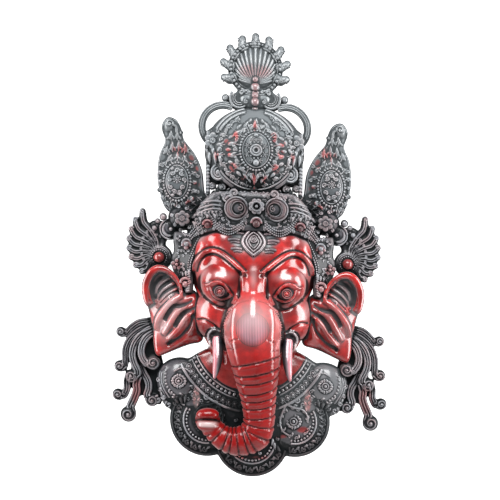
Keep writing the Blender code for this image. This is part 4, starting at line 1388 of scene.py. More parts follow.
def makeFinial():
    base = Heap()
    addFinial(base)
    z0 = shapes["finialZ"]
    for i in range(finialSettings["flames"]):
        a = finialSettings["step"] * (i - 4)
        bend = 0 if i == 4 else math.copysign(1, a)
        line = []
        for t, radius, sway in ((0.64, 7.0, 3.0), (0.76, 7.4, 2.5), (0.87, 6.2, 0.5),
                                (0.95, 5.2, -2.0), (1.0, 4.9, -3.5)):
            angle = math.radians(90 - a - bend * sway)
            reach = finialSettings["tip"] * t
            line.append((reach * math.cos(angle), 8 + 3.5 * t, z0 + reach * math.sin(angle),
                         radius))
        points = smoothLine(line, 3)
        base.strand(points)
        base.strand([(x, 4, z, r * 0.95) for x, _, z, r in points])
        x, z = points[-1][0], points[-1][2]
        base.ball(x, 8, z, (5.3, 6.5, 5.3))
    base.ball(33, 6, 165, (9, 8, 6.5), -30, True)
    return cutFlatBack(base.fused(carving["fineVoxel"], 2))


def finialDetails(base):
    on = Surface(base, 10.0).depth
    heap = Heap()
    z0, radius = shapes["finialZ"], shapes["shellRadius"]
    foot = z0 - radius + 8
    for i in range(17):
        a = 90 + 15.4 * (i - 8)
        x, z = arcPoint(0, z0, radius - 2, radius - 2, a)
        line = smoothLine([(0.10 * x, foot), (0.66 * x, 0.5 * foot + 0.5 * z), (x, z)], 5)
        count = len(line) - 1
        heap.strand([(px, on(px, pz) + 0.1, pz, 0.7 + 1.5 * k / count)
                     for k, (px, pz) in enumerate(line)])
    rim = arcLine(0, z0, radius + 4.2, radius + 4.2, 0, 360, 73)
    for x, z in spaced(rim, 5.4)[:-1]:
        heap.bead(x, on(x, z) + 0.8, z, 2.3)
    for offset, strand in ((0.8, 1.0), (7.4, 1.0)):
        ridge(heap, on, arcLine(0, z0, radius + offset, radius + offset, 0, 360, 61), strand)
    for i in range(finialSettings["flames"]):
        a = finialSettings["step"] * (i - 4)
        bend = 1 if a <= 0 else -1
        tip = math.radians(90 - a + bend * 3.5)
        curlOn(heap, on, finialSettings["tip"] * math.cos(tip),
               z0 + finialSettings["tip"] * math.sin(tip), 3.4, 90 - a, -bend, 1.0, 1.1, 0.5, 0.7)
        for start, end in ((37, 43.5), (40, 45.5), (34.5, 40)):
            low = math.radians(90 - a + bend * 6)
            high = math.radians(90 - a - bend * 3.5)
            line = [(start * math.cos(low), z0 + start * math.sin(low)),
                    ((start + end) / 2 * math.cos((low + high) / 2),
                     z0 + (start + end) / 2 * math.sin((low + high) / 2)),
                    (end * math.cos(high), z0 + end * math.sin(high))]
            ridge(heap, on, smoothLine(line, 4), 0.85, 0.1, 0.3)
    for z, r in ((164.5, 3.8), (154.0, 6.2), (142.5, 4.6), (133.5, 5.6), (123.8, 4.4)):
        heap.ball(0, on(0, z) + r * 0.45, z, (r, r, r))
    # a pair of C scrolls with their hollows, and small curls beside the stem
    sx, sz = finialSettings["scroll"]
    for scale, strand in ((1.0, 1.8), (0.72, 1.1), (0.5, 1.0)):
        ring = arcLine(sx, sz, 12.6 * scale, 13.0 * scale, 100, 400, 25)
        heap.level(ring, on(sx, sz) + 2.2 * scale, strand, True)
    curlOn(heap, on, 18, 146, 4.6, 180, -1, 1.6, 1.2, 2.6, 1.0, mirror=True)
    for x, z, r, start, wind, turns in ((10, 147.5, 3.4, 0, 1, 1.1), (12, 134.0, 3.8, 90, -1, 1.2),
                                        (9, 121.0, 3.4, 90, 1, 1.2)):
        curlOn(heap, on, x, z, r, start, wind, 1.3, turns, 1.6, 0.8, mirror=True)
    kx, kz = finialSettings["knob"]
    heap.ball(kx, 9, kz, (5.4, 6.5, 5.4), mirror=True)
    heap.strand([(kx, 5, kz, 4.6), (30, 7, 134, 4.0)], True)
    curlOn(heap, lambda x, z: 14.5, kx, kz, 3.4, 90, 1, 1.1, 1.1, 0, 0.8, mirror=True)
    return heap.gathered()


finialMesh = makeFinial()
finialAll, finialCo = joined(finialMesh, finialDetails(finialMesh))[:2]
paint(finialAll, ink=0.0, red=0.35 * patches(finialCo, [
    (0, 160, 5, 8), (0, 138, 5, 18), (10, 176, 12, 8)]))
finishPiece("finial", finialAll, crownPatina)


# side crests
crestSettings = {"voxelShare": 1.35, "medallion": (105.5, 20.5, 18.2, 26.2)}


def makeCrests():
    base = Heap()
    addCrests(base)
    mx, mz, mw, mh = crestSettings["medallion"]
    base.ball(mx, front(mx, mz) - 5, mz, (mw - 1.5, 8.5, mh - 1.5), mirror=True)
    base.ball(118, 15, 98, (7, 7, 9), mirror=True)
    return cutFlatBack(base.fused(carving["fineVoxel"] * crestSettings["voxelShare"], 2))


def crestDetails(base):
    on = Surface(base, 12.0).depth
    heap = Heap()
    mx, mz, mw, mh = crestSettings["medallion"]
    medallionDetails(heap, on, mx, mz, mw, mh, True)
    rand = random.Random(11)
    for i, (a, x, z) in enumerate(around(mx, mz, 9.6, 15.0, 9, 10)):
        curlOn(heap, on, x, z, 4.0, a + 90, 1 if i % 2 else -1, 1.2, 1.3, 0.6, 0.9, mirror=True)
    rosette(heap, on, mx, mz + 3, 6.2, 8, True)
    for x, z in ((101, 4), (111, 2), (99, 36), (112, 38)):
        heap.ball(x, on(x, z) + 0.8, z, (2.4, 2.2, 2.4), mirror=True)
    for a, x, z in around(mx, mz, mw + 2.5, mh + 2.5, 16, 90):
        side = 0.5 + 0.5 * abs(math.sin(math.radians(a)))
        spray(heap, on, x, z, 90 - a, 12.5 * side, 6.2, 0.3, True)
    for x, z, turn, length in ((104, 63, 0, 15), (96, 60, -10, 14), (112, 62, 8, 14),
                               (119, 58, 16, 12), (106, 78, 2, 13), (114, 78, 8, 13),
                               (104, -16, 180, 7), (113, -15, 172, 7), (95, -14, 190, 7)):
        spray(heap, on, x, z, turn, length, 6.0, 0.4, True)
    for x, z, r in ((80, 48, 3.8), (78, 30, 3.6), (77, 8, 3.6), (82, -8, 3.6), (128, 44, 3.4),
                    (129, 8, 3.4), (122, -10, 3.4), (91, 66, 3.6), (122, 64, 3.4),
                    (86, -16, 3.2), (100, 88, 3.0)):
        looseCurl(heap, on, rand, x, z, r, 1.2, 1.2, 0.5, 0.8)
    curlOn(heap, on, 117, 100, 6.0, 200, -1, 2.0, 1.2, 0.8, 1.0, [(107, 88), (108, 96)], True)
    edge = smoothRing(shapes["crestOutline"], 5)
    inner = [(103 + (x - 103) * 0.93, 40 + (z - 40) * 0.955) for x, z in edge]
    ridge(heap, on, inner + inner[:1], 1.1, 0.2, mirror=True)
    return heap.gathered()


crestMesh = makeCrests()
crestAll, crestCo, crestBody = joined(crestMesh, crestDetails(crestMesh))
# the ground is darkened, and whatever lies within 9 mm of the wall darker still: painted shade on the
# side walls and in the deep gaps
crestInk = np.maximum(np.where(crestBody, 0.25, 0.0), np.clip((9 - crestCo[:, 1]) / 6, 0, 0.8))
paint(crestAll, ink=crestInk, dust=0.22, red=0.7 * patches(crestCo, [
    (97, 66, 5, 8), (87, 52, 4, 6), (80, 39, 3.5, 4), (79, 18, 4, 3), (80, -2, 4, 4),
    (104, 63, 2, 6), (110, 62, 2, 6), (90, -8, 4, 4), (105, -13, 2.5, 5)]))
finishPiece("sideCrests", crestAll, crownPatina)


# wings, temples and what hangs there
wingSettings = {
    "voxelShare": 1.25,
    "coreVoxel": 0.002,
    "boss": (129.1, -83.6),
    "volute": (114.5, -44.6),
    "flower": (97.3, -29.5),
    "smallFlower": (104.5, -92.5),
    "bells": [(91, -66.5, 5.4), (92, -116.5, 6.4)],
    "tips": [(152.5, -21.5), (162, -33.5), (167.5, -46.5), (170.3, -59.5), (170.3, -72.5),
             (167.2, -84.6), (160.8, -95.4), (152.5, -103.5)],
}


def featherLine(i, steps=4):
    # a feather's wavy centre line, from the boss to its tip
    bx, bz = wingSettings["boss"]
    tx, tz = wingSettings["tips"][i]
    dx, dz = tx - bx, tz - bz
    length = math.hypot(dx, dz)
    ux, uz = dx / length, dz / length
    sway = 4.2 - 0.25 * i
    line = []
    for t, side in ((0.20, -0.4), (0.34, -1.0), (0.56, -0.4), (0.76, 0.8), (0.9, 0.6), (1.0, 0.0)):
        off = sway * side
        line.append((bx + dx * t + uz * off, bz + dz * t - ux * off))
    return smoothLine(line, steps)


def makeWings():
    core = Heap()
    addTemples(core)
    base = Heap()
    base.skins.append(core.fused(wingSettings["coreVoxel"], 10))
    bx, bz = wingSettings["boss"]
    for i, (tx, tz) in enumerate(wingSettings["tips"]):
        line = featherLine(i)
        count = len(line) - 1
        points = [(x, 10 + 5 * k / count, z, 2.8 + 2.4 * math.sin(math.pi * min(1, k / count * 0.8)))
                  for k, (x, z) in enumerate(line)]
        base.strand(points, True)
        base.strand([(x, 4, z, r * 1.05) for x, _, z, r in points], True)
        base.ball(tx, 15, tz, (4.6, 4.6, 4.6), mirror=True)
    base.ball(bx, 19, bz, (7.2, 8, 7.2), mirror=True)
    return cutFlatBack(base.fused(carving["fineVoxel"] * wingSettings["voxelShare"], 1))


def wingDetails(base):
    on = Surface(base, 12.0).depth
    heap = Heap()
    rand = random.Random(5)
    bx, bz = wingSettings["boss"]
    ring = arcLine(bx, bz, 10.2, 10.2, 0, 360, 41)
    for x, z in spaced(ring, 3.0)[:-1]:
        heap.bead(x, on(x, z) + 0.6, z, 1.35, True)
    for radius in (12.8, 15.0):
        ridge(heap, on, arcLine(bx, bz, radius, radius, 0, 360, 37), 0.9, 0.2, mirror=True)
    for i, (tx, tz) in enumerate(wingSettings["tips"]):
        # bright veins along each feather, and a coil on its ball
        line = featherLine(i, 3)
        for shift, width in ((-1.5, 0.75), (1.3, 0.95)):
            ridge(heap, on, offsetLine(line, shift), width, 0.3, 0.1, True)
        curlOn(heap, on, tx, tz, 4.2, 150, -1, 1.1, 1.3, 0.5, 0.8, mirror=True)
        if i < 7:
            # a second row of small curled tips between the feathers
            nx, nz = wingSettings["tips"][i + 1]
            mx, mz = (tx + nx) / 2, (tz + nz) / 2
            x, z = bx + (mx - bx) * 0.60, bz + (mz - bz) * 0.60
            curlOn(heap, on, x, z, 2.6, 120, -1, 0.9, 1.2, 0.8, 0.8, mirror=True)
            low = (bx + (mx - bx) * 0.36, bz + (mz - bz) * 0.36)
            ridge(heap, on, [low, (x, z)], 0.8, 0.4, mirror=True)
    # the temple's volute: ringed, with a broad bright crescent below and outside
    vx, vz = wingSettings["volute"]
    top = max(on(vx, vz), front(vx - 6, vz) - 4)
    for radius, strand, lift in ((13.6, 1.3, 1.4), (10.8, 0.8, 1.4), (8.2, 0.8, 1.4),
                                 (5.4, 1.2, 1.2)):
        heap.level(arcLine(vx, vz, radius, radius, 0, 360, 33), top + lift, strand, True)
    heap.crescent(arcLine(vx, vz, 9.4, 9.4, -150, 60, 21), top + 1.0, 1.2, 1.8, True)
    heap.ball(vx, top - 1.0, vz, (13.6, 4.6, 13.6), mirror=True)
    heap.ball(vx - 1, top + 3.6, vz, (2.8, 2.6, 2.8), mirror=True)
    flower(heap, front, *wingSettings["flower"], 10.6, 6, 2.0, True)
    for x, z, r in ((84, -27, 4.2), (108, -38, 3.6), (88, -41, 3.8), (103, -14, 3.6),
                    (92, -15, 3.6), (112, -25, 3.4), (99, -45, 3.4), (84, -16, 3.2)):
        curlOn(heap, front, x, z, r, 90 + 20 * x, 1, 1.3, 1.2, 0.6, 1.0, mirror=True)
    for x, z, r in ((124.3, -28.0, 5.2), (132.0, -34.0, 3.8), (136.5, -44, 3.6), (107, -21, 3.4)):
        heap.ball(x, on(x, z) + 1.0, z, (r, r, r), mirror=True)
        curlOn(heap, lambda px, pz, x=x, z=z, r=r: on(x, z) + r * 0.75, x, z, r * 0.8, 90, -1,
               0.9, 1.2, 0.2, 0.6, mirror=True)
    # the strap down the temple: rows of beads and a close ground of curls
    inner, outer = smoothLine(templeEdges["inner"], 4), smoothLine(templeEdges["outer"], 4)
    for t, radius in ((0.06, 1.5), (0.20, 1.2)):
        beadRow(heap, on, mixedLine(inner, outer, t), 3.2, radius, 0.4, True)
    for i in range(66):
        t, k = 0.28 + 0.68 * rand.random(), rand.random()
        line = mixedLine(inner, outer, t)
        x, z = line[int(k * (len(line) - 1))]
        looseCurl(heap, on, rand, x, z, 2.4, 0.85, 0.9, 0.3, 0.5)
    for i in range(16):
        x, z = 128 + 20 * rand.random(), -40 - 26 * rand.random()
        looseCurl(heap, on, rand, x, z, 2.4, 0.85, 0.9, 0.3, 0.5)
    for x, z, size in wingSettings["bells"]:
        # hooded bells
        hood = arcLine(x, z, size, size * 0.9, -8, 188, 13)
        heap.level(hood, on(x, z) + 3.0, 2.0, True)
        heap.ball(x, on(x, z) + 1.0, z - 2, (size * 0.75, size * 0.7, size * 0.75), mirror=True)
    fx, fz = wingSettings["smallFlower"]
    for a, x, z in around(fx, fz, 5.4, 5.4, 5, 90):
        heap.stamp(petalShape, x, on(fx, fz) + 1.4, z, (2.7, 2.4, 3.0), 90 - a, True)
    heap.bead(fx, on(fx, fz) + 3.0, fz, 2.3, True)
    for i in range(6):
        leafOn(heap, on, 87 + 4.2 * i, -103 - 2.0 * i, 178, 5.0, 1.9, 2.2, 0.6, True)
    return heap.gathered()


wingMesh = makeWings()
wingAll, wingCo, wingBody = joined(wingMesh, wingDetails(wingMesh))

bossAway = awayFrom(wingCo, *wingSettings["boss"])
flowerAway = awayFrom(wingCo, *wingSettings["flower"])
redAway = awayFrom(wingCo, *wingSettings["smallFlower"])
for x, z, size in wingSettings["bells"]:
    redAway = np.minimum(redAway, awayFrom(wingCo, x, z + 1.5))
wingInk = np.where(wingBody & (bossAway > 8), 0.7, 0.05)
wingInk = np.where((flowerAway < 12.5) & ~wingBody, 0.42, wingInk)
wingRed = np.where(bossAway < 8, 0.95, np.where(redAway < 7, 0.4, 0.04))
paint(wingAll, ink=wingInk, red=wingRed)
finishPiece("wings", wingAll, crownPatina)


# side scrolls
scrollSettings = {
    "voxelShare": 1.15,
    "shift": -3.3,  # both sides hang a little towards the viewer's left
    "bands": [
        # line, its curl (centre, radius, entry angle, turn), half width, depth
        ([(126, -168), (141, -171.9), (154, -175), (164, -182.8), (170, -190)],
         (177.5, -188.0, 7.0, 195, 1), 5.0, 11.0),
        ([(126, -174), (141.7, -180.4), (154, -186.7), (165, -197.5), (170.6, -211),
          (171.0, -225)], (178.5, -235.0, 8.0, 180, 1), 5.2, 12.5),
        ([(122, -178), (136.7, -182.5), (147.8, -190), (157.7, -202.7), (161.5, -217.3),
          (158.9, -230), (154, -240)], (162.5, -248.0, 9.4, 165, 1), 5.4, 15.0),
        ([(122, -184), (136.7, -189.6), (145.5, -199.4), (149, -211.6), (147.3, -222),
          (141.5, -230)], (132.5, -228.5, 9.8, -8, -1), 5.2, 17.0),
        ([(150, -234), (145, -244.5), (139.5, -254.6), (138.6, -264), (141, -272)],
         (133.8, -280.4, 8.8, 35, -1), 5.4, 12.0),
        ([(166, -245), (168.5, -256), (168.5, -266), (172.5, -275)],
         (180.6, -274.0, 8.0, 190, 1), 5.2, 12.0),
        ([(153, -248), (155.5, -258), (154.8, -268), (158.5, -279), (163, -289)],
         (166.2, -300.5, 11.0, 110, 1), 6.2, 14.0),
    ],
}


def makeSideScrolls():
    base = Heap()
    for strand, curl, half, depth in scrollSettings["bands"]:
        cx, cz, radius, start, wind = curl
        line = smoothLine(strand + curlLine(cx, cz, radius * 0.75, start, 0.3, wind, 3), 4)
        count = len(line) - 1
        base.strand([(x, depth - half + 1 + 2 * i / count, z, half)
                     for i, (x, z) in enumerate(line)], True)
        base.level(line, 4.5, half * 0.95, True)
        base.ball(cx, depth - 4, cz, (radius, 9, radius), mirror=True)
        base.ball(cx, 3, cz, (radius - 1, 6, radius - 1), mirror=True)
    base.slab(smoothRing([(118, -236), (140, -172), (158, -190), (164, -222), (161, -262),
                          (156, -276), (140, -274), (122, -286)]), 8, 4, True)
    return cutFlatBack(base.fused(carving["fineVoxel"] * scrollSettings["voxelShare"], 2))


def scrollDetails(base):
    on = Surface(base, 9.0).depth
    heap = Heap()
    for strand, curl, half, depth in scrollSettings["bands"]:
        cx, cz, radius, start, wind = curl
        line = smoothLine(strand + [curlLine(cx, cz, radius - 1, start, 0.1, wind, 3)[0]], 4)
        for shift, width in ((-0.6, 1.55), (0.02, 0.85), (0.6, 1.55)):
            side = offsetLine(line, shift * half)
            heap.strand([(x, max(on(x, z), depth - half) + 0.1, z, width) for x, z in side], True)
        # the outer line runs on into the coil
        outer = offsetLine(line, -0.6 * half * wind)[-3:]
        coil = smoothLine(outer + curlLine(cx, cz, radius - 1.2, start + wind * 24, 1.55, wind, 22),
                          2)
        count = len(coil) - 1
        heap.strand([(x, on(x, z) + 0.3 + 1.6 * i / count, z, 1.2 - 0.5 * i / count)
                     for i, (x, z) in enumerate(coil)], True)
        heap.bead(cx, on(cx, cz) + 1.8, cz, radius * 0.2, True)
    return heap.gathered()


scrollMesh = makeSideScrolls()
scrollAll, scrollCo, scrollBody = joined(scrollMesh, scrollDetails(scrollMesh))
scrollAll.transform(Matrix.Translation((scrollSettings["shift"] * unit, 0, 0)))
scrollCo[:, 0] += scrollSettings["shift"]
# whatever lies within 9 mm of the wall is darkened: painted shade in the gaps between the bands and
# on the side walls
scrollInk = np.maximum(np.where(scrollBody, 0.8, 0.25), np.clip((9 - scrollCo[:, 1]) / 5, 0, 0.85))
paint(scrollAll, ink=scrollInk, red=0.05 + 0.4 * patches(scrollCo, [(156, -270, 9, 18)]))
finishPiece("sideScrolls", scrollAll, crownPatina)


# breastplate
chestSettings = {
    "voxelShare": 1.35,
    "rosettes": [(57, -301, 11.6, 14), (100, -251.5, 10.8, 14)],
    "paisley": [(47, -278), (43, -285), (38.5, -301), (42, -314), (51, -320.5)],
    "paisleyTop": [(46, -277), (57, -282), (68, -284), (75.5, -292), (76.3, -302)],
    "patch": (76, -273, 4.5, 13),
}


def makeChest():
    base = Heap()
    addChest(base)
    return cutFlatBack(base.fused(carving["fineVoxel"] * chestSettings["voxelShare"], 2))


def chestDetails(base):
    on = Surface(base, 12.0).depth
    heap = Heap()
    collarZ = shapes["collarZ"]
    for radius, strand, start in ((83, 1.3, 205), (91, 1.2, 206), (107, 2.0, 206)):
        line = arcLine(-1, collarZ, radius, radius + 2, start, 540 - start, 61)
        ridge(heap, on, line, strand, 0.3)
    beadRow(heap, on, arcLine(-1, collarZ, 87, 89, 206, 334, 81), 6.2, 2.3, 0.6)
    for x, z in spaced(arcLine(-1, collarZ, 99, 101, 210, 330, 81), 8.2):
        ridge(heap, on, arcLine(x, z, 3.3, 3.3, 0, 360, 13), 0.9)
        heap.bead(x, on(x, z) + 0.8, z, 2.1)
    beadRow(heap, on, arcLine(-1, collarZ, 103.6, 105.4, 208, 332, 81), 4.6, 0.9, 0.2)
    for x, z, radius, petals in chestSettings["rosettes"]:
        rosette(heap, on, x, z, radius, petals, True)
    for name in ("paisley", "paisleyTop"):
        ridge(heap, on, smoothLine(chestSettings[name], 5), 1.6, 0.4, 0.25, True)
    curlOn(heap, on, 62, -271.4, 4.6, 200, 1, 1.4, 1.3, 0.5, 0.9, [(48, -277), (54, -276)], True)
    ridge(heap, on, smoothLine([(84, -240), (90, -235.5), (98, -234), (107, -239)], 4), 1.5, 0.4,
          0.2, True)
    # shoulder: bead row, line and leafy border
    beadRow(heap, on, smoothLine([(118, -238), (118.5, -250), (115, -261), (107, -270),
                                  (100, -275)], 5), 4.6, 1.7, 0.5, True)
    for shift, strand in ((5.0, 1.2), (8.0, 1.0)):
        ridge(heap, on, smoothLine([(118 + shift, -240), (119 + shift, -252), (115 + shift, -264),
                                    (108 + shift, -273 - shift * 0.4)], 5), strand, 0.3, mirror=True)
    for x, z, r, start in ((128, -252, 3.8, 90), (126, -264, 4.0, 0), (121, -275, 4.2, 0),
                           (129, -279, 6.2, 90), (114, -285, 5.6, 60), (104, -283, 4.2, 30)):
        curlOn(heap, on, x, z, r, start, -1, 1.5, 1.2, 0.4, 0.8, mirror=True)
    # the lobes: bead row, raised line, then a border of leaf scrolls
    for lobeX, lobeZ, radius in shapes["lobes"]:
        first, last = (196, 344) if lobeX == 0 else (262, 392) if lobeX > 0 else (148, 278)
        for inset, strand in ((19.5, 1.5), (3.4, 1.2)):
            ridge(heap, on, arcLine(lobeX, lobeZ, radius - inset, radius - inset, first, last, 41),
                  strand, 0.3)
        beadRow(heap, on, arcLine(lobeX, lobeZ, radius - 23.5, radius - 23.5, first, last, 61), 4.7,
                1.6, 0.4)
        count = 7
        for i in range(count):
            a = first + (last - first) * (i + 0.5) / count
            x, z = arcPoint(lobeX, lobeZ, radius - 9.5, radius - 9.5, a)
            x2, z2 = arcPoint(lobeX, lobeZ, radius - 14.5, radius - 14.5, a - 11)
            x3, z3 = arcPoint(lobeX, lobeZ, radius - 6.5, radius - 6.5, a - 8)
            curlOn(heap, on, x, z, 4.2, a + 200, 1, 1.35, 1.2, 0.4, 0.9, [(x2, z2), (x3, z3)])
            x, z = arcPoint(lobeX, lobeZ, radius - 13, radius - 13, a + 7)
            leafOn(heap, on, x, z, 90 - a - 40, 4.2, 2.2, 2.2, 0.2)
    for side in (1, -1):
        # bunches of leaves where the lobes meet
        for x, z, turn, length in ((31, -335, 200, 7), (36, -339, 215, 6), (28, -330, 180, 6),
                                   (97, -277, 170, 6.5), (103, -279, 150, 5.5),
                                   (91, -275, 190, 6.0)):
            leafOn(heap, on, side * x, z, side * turn, length, 2.8, 3.0, 0.5)
    for x, z, r in ((22, -302, 3.6), (28, -318, 3.6), (36, -326, 3.2), (12, -346, 3.0)):
        curlOn(heap, on, x, z, r, 120, 1, 1.2, 1.1, 0.4, 0.7, mirror=True)
    # small scrolls over the open ground, clear of the rosettes and the borders
    rand = random.Random(11)
    made = [(x, z, r + 3) for x, z, r, petals in chestSettings["rosettes"]]
    for i in range(600):
        x, z = 16 + 104 * rand.random(), -236 - 104 * rand.random()
        away = math.hypot(x + 1, z - collarZ)
        borders = [radius - math.hypot(x - cx, z - lz) for cx, lz, radius in shapes["lobes"]]
        clear = all(math.hypot(x - px, z - pz) > pr + 3.4 for px, pz, pr in made)
        if away < 113 or not clear or (z < -278 and max(borders) < 27) or (z > -278 and x > 112):
            continue
        made.append((x, z, 3.4))
        looseCurl(heap, on, rand, x, z, 2.7 + rand.random(), 0.95, 1.0, 0.3, 0.5)
        leafOn(heap, on, x + 2.6, z + 2.6, 360 * rand.random(), 3.2, 1.7, 1.6, 0.1, True)
    return heap.gathered()


chestMesh = makeChest()
chestAll, chestCo, chestBody = joined(chestMesh, chestDetails(chestMesh))
fromCollar = np.hypot(chestCo[:, 0] + 1, chestCo[:, 2] - shapes["collarZ"])
inNeck = np.clip((82 - fromCollar) / 2, 0, 1)
panel = 0.8 * patches(chestCo, [chestSettings["patch"], (70, -312, 8, 4), (40, -322, 8, 3),
                                (10, -352, 12, 3)])
# greyer towards the collar and much more on the viewer's right: partly dust, partly painted sheen
# where the light falls
chestDust = np.clip((chestCo[:, 2] + 330) / 60, 0, 1) * (1 - inNeck)


def lobeBorder(co):
    # 1 on the borders of the three lobes, and 0 well inside any of them
    inset = np.full(len(co), -60.0)
    gaps = [np.hypot(co[:, 0] - x, co[:, 2] - z) - radius for x, z, radius in shapes["lobes"]]
    for gap in gaps:
        inset = np.where(gap < 3, np.maximum(inset, np.minimum(gap, 0.0)), inset)
    for gap in gaps:
        inset = np.where(gap < -18, -60.0, inset)
    return np.clip((inset + 18) / 10, 0, 1) * (co[:, 2] < -270)


border = lobeBorder(chestCo)
chestInk = np.where(chestBody, 0.04 + 0.9 * border, 0.85 * border) * (1 - inNeck)
# the ink layer also darkens whatever lies within 8 mm of the wall: painted shade in the deep gaps and
# on the side walls
paint(chestAll,
      ink=np.maximum(chestInk, np.clip((8 - chestCo[:, 1]) / 5, 0, 0.9)),
      red=np.maximum(np.maximum(inNeck, panel), 0.05),
      calm=inNeck,
      dust=chestDust * np.where(chestCo[:, 0] > 0, 0.65, 0.12),
      pale=0.3 * patches(chestCo, [chestSettings["patch"]]))
finishPiece("breastplate", chestAll, crownPatina)
print("carving done")


# how high each point stands above its surroundings
reliefSettings = {
    "pixel": 1.0,
    "across": (-192, 192),
    "up": (-388, 236),
    "start": 0.2,  # how far in front of the wall the rays start, in metres
    "blurs": (2.2, 8.0),  # how far the fine and the broad map look round
    "ranges": (1.4, 5.0),  # heights above the two maps that count as full relief
    # what the back wears: one plain dark coat
    "backCoat": {"fine": -0.3, "broad": -0.3, "ink": 0.75, "red": 0.0, "haze": 0.0, "bloom": 0.0,
                 "pale": 0.0},
}


def blurred(field, sigma):
    reach = int(3 * sigma)
    kernel = np.exp(-0.5 * (np.arange(-reach, reach + 1) / sigma) ** 2)
    kernel /= kernel.sum()
    out = np.apply_along_axis(np.convolve, 0, field, kernel, "same")
    return np.apply_along_axis(np.convolve, 1, out, kernel, "same")


def reliefMaps():
    # the mean height of all the pieces round each pixel of the front view, near and far
    s = reliefSettings
    verts, faces, first = [], [], 0
    for obj in pieces:
        mesh = obj.data
        co = np.empty(len(mesh.vertices) * 3)
        mesh.vertices.foreach_get("co", co)
        verts.append(co.reshape(-1, 3))
        faces.extend([tuple(i + first for i in p.vertices) for p in mesh.polygons])
        first += len(mesh.vertices)
    tree = BVHTree.FromPolygons(np.concatenate(verts).tolist(), faces)
    xs = np.arange(*s["across"], s["pixel"])
    zs = np.arange(*s["up"], s["pixel"])
    height = np.full((len(zs), len(xs)), np.nan)
    ahead = Vector((0, 1, 0))
    for row, z in enumerate(zs):
        for col, x in enumerate(xs):
            hit = tree.ray_cast(Vector((x * unit, -s["start"], z * unit)), ahead, s["start"])[0]
            if hit is not None:
                height[row, col] = -hit.y / unit
    solid = ~np.isnan(height)
    filled, weight = np.where(solid, height, 0), solid.astype(float)
    sigmas = [blur / s["pixel"] for blur in s["blurs"]]
    return [blurred(filled, sigma) / np.maximum(blurred(weight, sigma), 1e-3) for sigma in sigmas]


def sampled(field, co):
    # the field's value at each point, between its pixels
    s = reliefSettings
    col = np.clip((co[:, 0] - s["across"][0]) / s["pixel"], 0, field.shape[1] - 1.001)
    row = np.clip((co[:, 2] - s["up"][0]) / s["pixel"], 0, field.shape[0] - 1.001)
    c0, r0 = col.astype(int), row.astype(int)
    fc, fr = col - c0, row - r0
    return ((field[r0, c0] * (1 - fc) + field[r0, c0 + 1] * fc) * (1 - fr)
            + (field[r0 + 1, c0] * (1 - fc) + field[r0 + 1, c0 + 1] * fc) * fr)


def layerValues(mesh, name):
    out = np.zeros(len(mesh.vertices))
    if name in mesh.attributes:
        mesh.attributes[name].data.foreach_get("value", out)
    return out


def paintRelief(mesh, maps):
    co, normal = meshArrays(mesh)
    loud = 1 - layerValues(mesh, "calm")
    fine, broad = (np.clip((co[:, 1] - sampled(field, co)) / reach, -1.5, 1.5) * loud
                   for field, reach in zip(maps, reliefSettings["ranges"]))
    # painted sheen: the crown is painted paler towards its top, where the light washes over it, and
    # each piece's dust layer is added to it
    haze = 0.9 * np.clip((co[:, 2] + 15) / 150, 0, 1) + layerValues(mesh, "dust")
    paint(mesh, fine=fine, broad=broad, haze=haze)
    behind = normal[:, 1] > 0.3
    for name, coat in reliefSettings["backCoat"].items():
        paint(mesh, **{name: np.where(behind, coat, layerValues(mesh, name))})


reliefFields = reliefMaps()
for piece in pieces:
    paintRelief(piece.data, reliefFields)
print("relief measured")


# stage, lights and camera
stageSettings = {
    "floor": (3.0, -1.35),  # half size and height
    "backdrop": (1.6, 2.7, 0.3),  # half size, distance behind the wall and height
    "worldTone": (0.97, 0.98, 1, 1),
    "worldStrength": 0.16,
    "lightsAim": (0, 0, -0.1),
    "lights": {  # place, power, width and height
        "topSoftbox": ((0.0, -0.95, 0.85), 26, 1.3, 0.7),
        "leftPanel": ((-1.0, -0.2, -0.05), 15, 0.6, 1.3),
        "rightPanel": ((1.0, -0.2, -0.05), 18, 0.6, 1.3),
    },
    "distance": 2.3,  # from the camera to the wall
    "viewWidth": 0.690,  # what the camera sees at the wall
    "sensor": 36.0,
    "roll": 0.6,
    "centre": (-0.0048, -0.069),
}


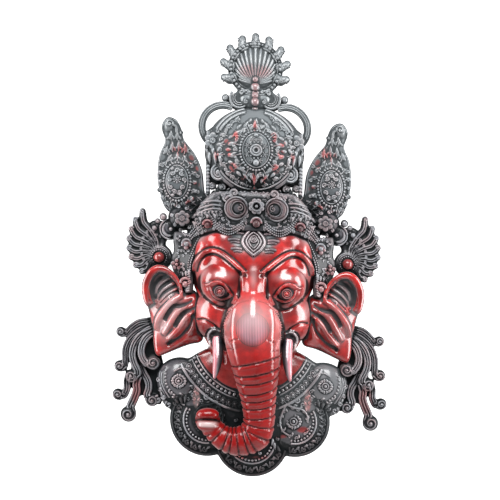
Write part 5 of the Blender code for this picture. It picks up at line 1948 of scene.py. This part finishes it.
def makeSheet(name, size, matrix):
    # a square sheet of the stage; returns its shader
    mesh = template(name, lambda shape: bmesh.ops.create_grid(
        shape, x_segments=1, y_segments=1, size=size))
    mesh.transform(matrix)
    material, shader = newMaterial(name)
    mesh.materials.append(material)
    linked(name, mesh)
    return shader


def makeStage():
    size, height = stageSettings["floor"]
    pale = makeSheet("floor", size, Matrix.Translation((0, 0, height)))
    pale.inputs["Base Color"].default_value = (0.9, 0.9, 0.9, 1)
    pale.inputs["Roughness"].default_value = 0.8
    # a white sheet far behind the mask, so that the mask can be seen from the back too
    size, behind, height = stageSettings["backdrop"]
    lit = makeSheet("backdrop", size, Matrix.Translation((0, behind, height))
                    @ Matrix.Rotation(math.radians(90), 4, "X"))
    lit.inputs["Emission Color"].default_value = (1, 1, 1, 1)
    lit.inputs["Emission Strength"].default_value = 1.0
    world = bpy.data.worlds.new("studio")
    bpy.context.scene.world = world
    world.use_nodes = True
    sky = world.node_tree.nodes["Background"]
    sky.inputs[0].default_value = stageSettings["worldTone"]
    sky.inputs[1].default_value = stageSettings["worldStrength"]
    bpy.context.scene.view_settings.view_transform = "Standard"


def addSoftbox(name, spot, power, width, height):
    light = bpy.data.lights.new(name, "AREA")
    light.energy = power
    light.shape = "RECTANGLE"
    light.size = width
    light.size_y = height
    obj = linked(name, light)
    obj.location = spot
    aim = Vector(stageSettings["lightsAim"]) - Vector(spot)
    obj.rotation_euler = aim.to_track_quat("-Z", "Y").to_euler()


def addCamera():
    s = stageSettings
    camera = bpy.data.cameras.new("camera")
    camera.sensor_width = s["sensor"]
    camera.lens = s["sensor"] * s["distance"] / s["viewWidth"]
    obj = linked("camera", camera)
    obj.location = (s["centre"][0], -s["distance"], s["centre"][1])
    obj.rotation_euler = (math.radians(90), 0, 0)
    obj.rotation_euler.rotate_axis("Z", math.radians(s["roll"]))
    bpy.context.scene.camera = obj


makeStage()
for name, softbox in stageSettings["lights"].items():
    addSoftbox(name, *softbox)
addCamera()
print("stage, lights and camera set")

print("scene finished")
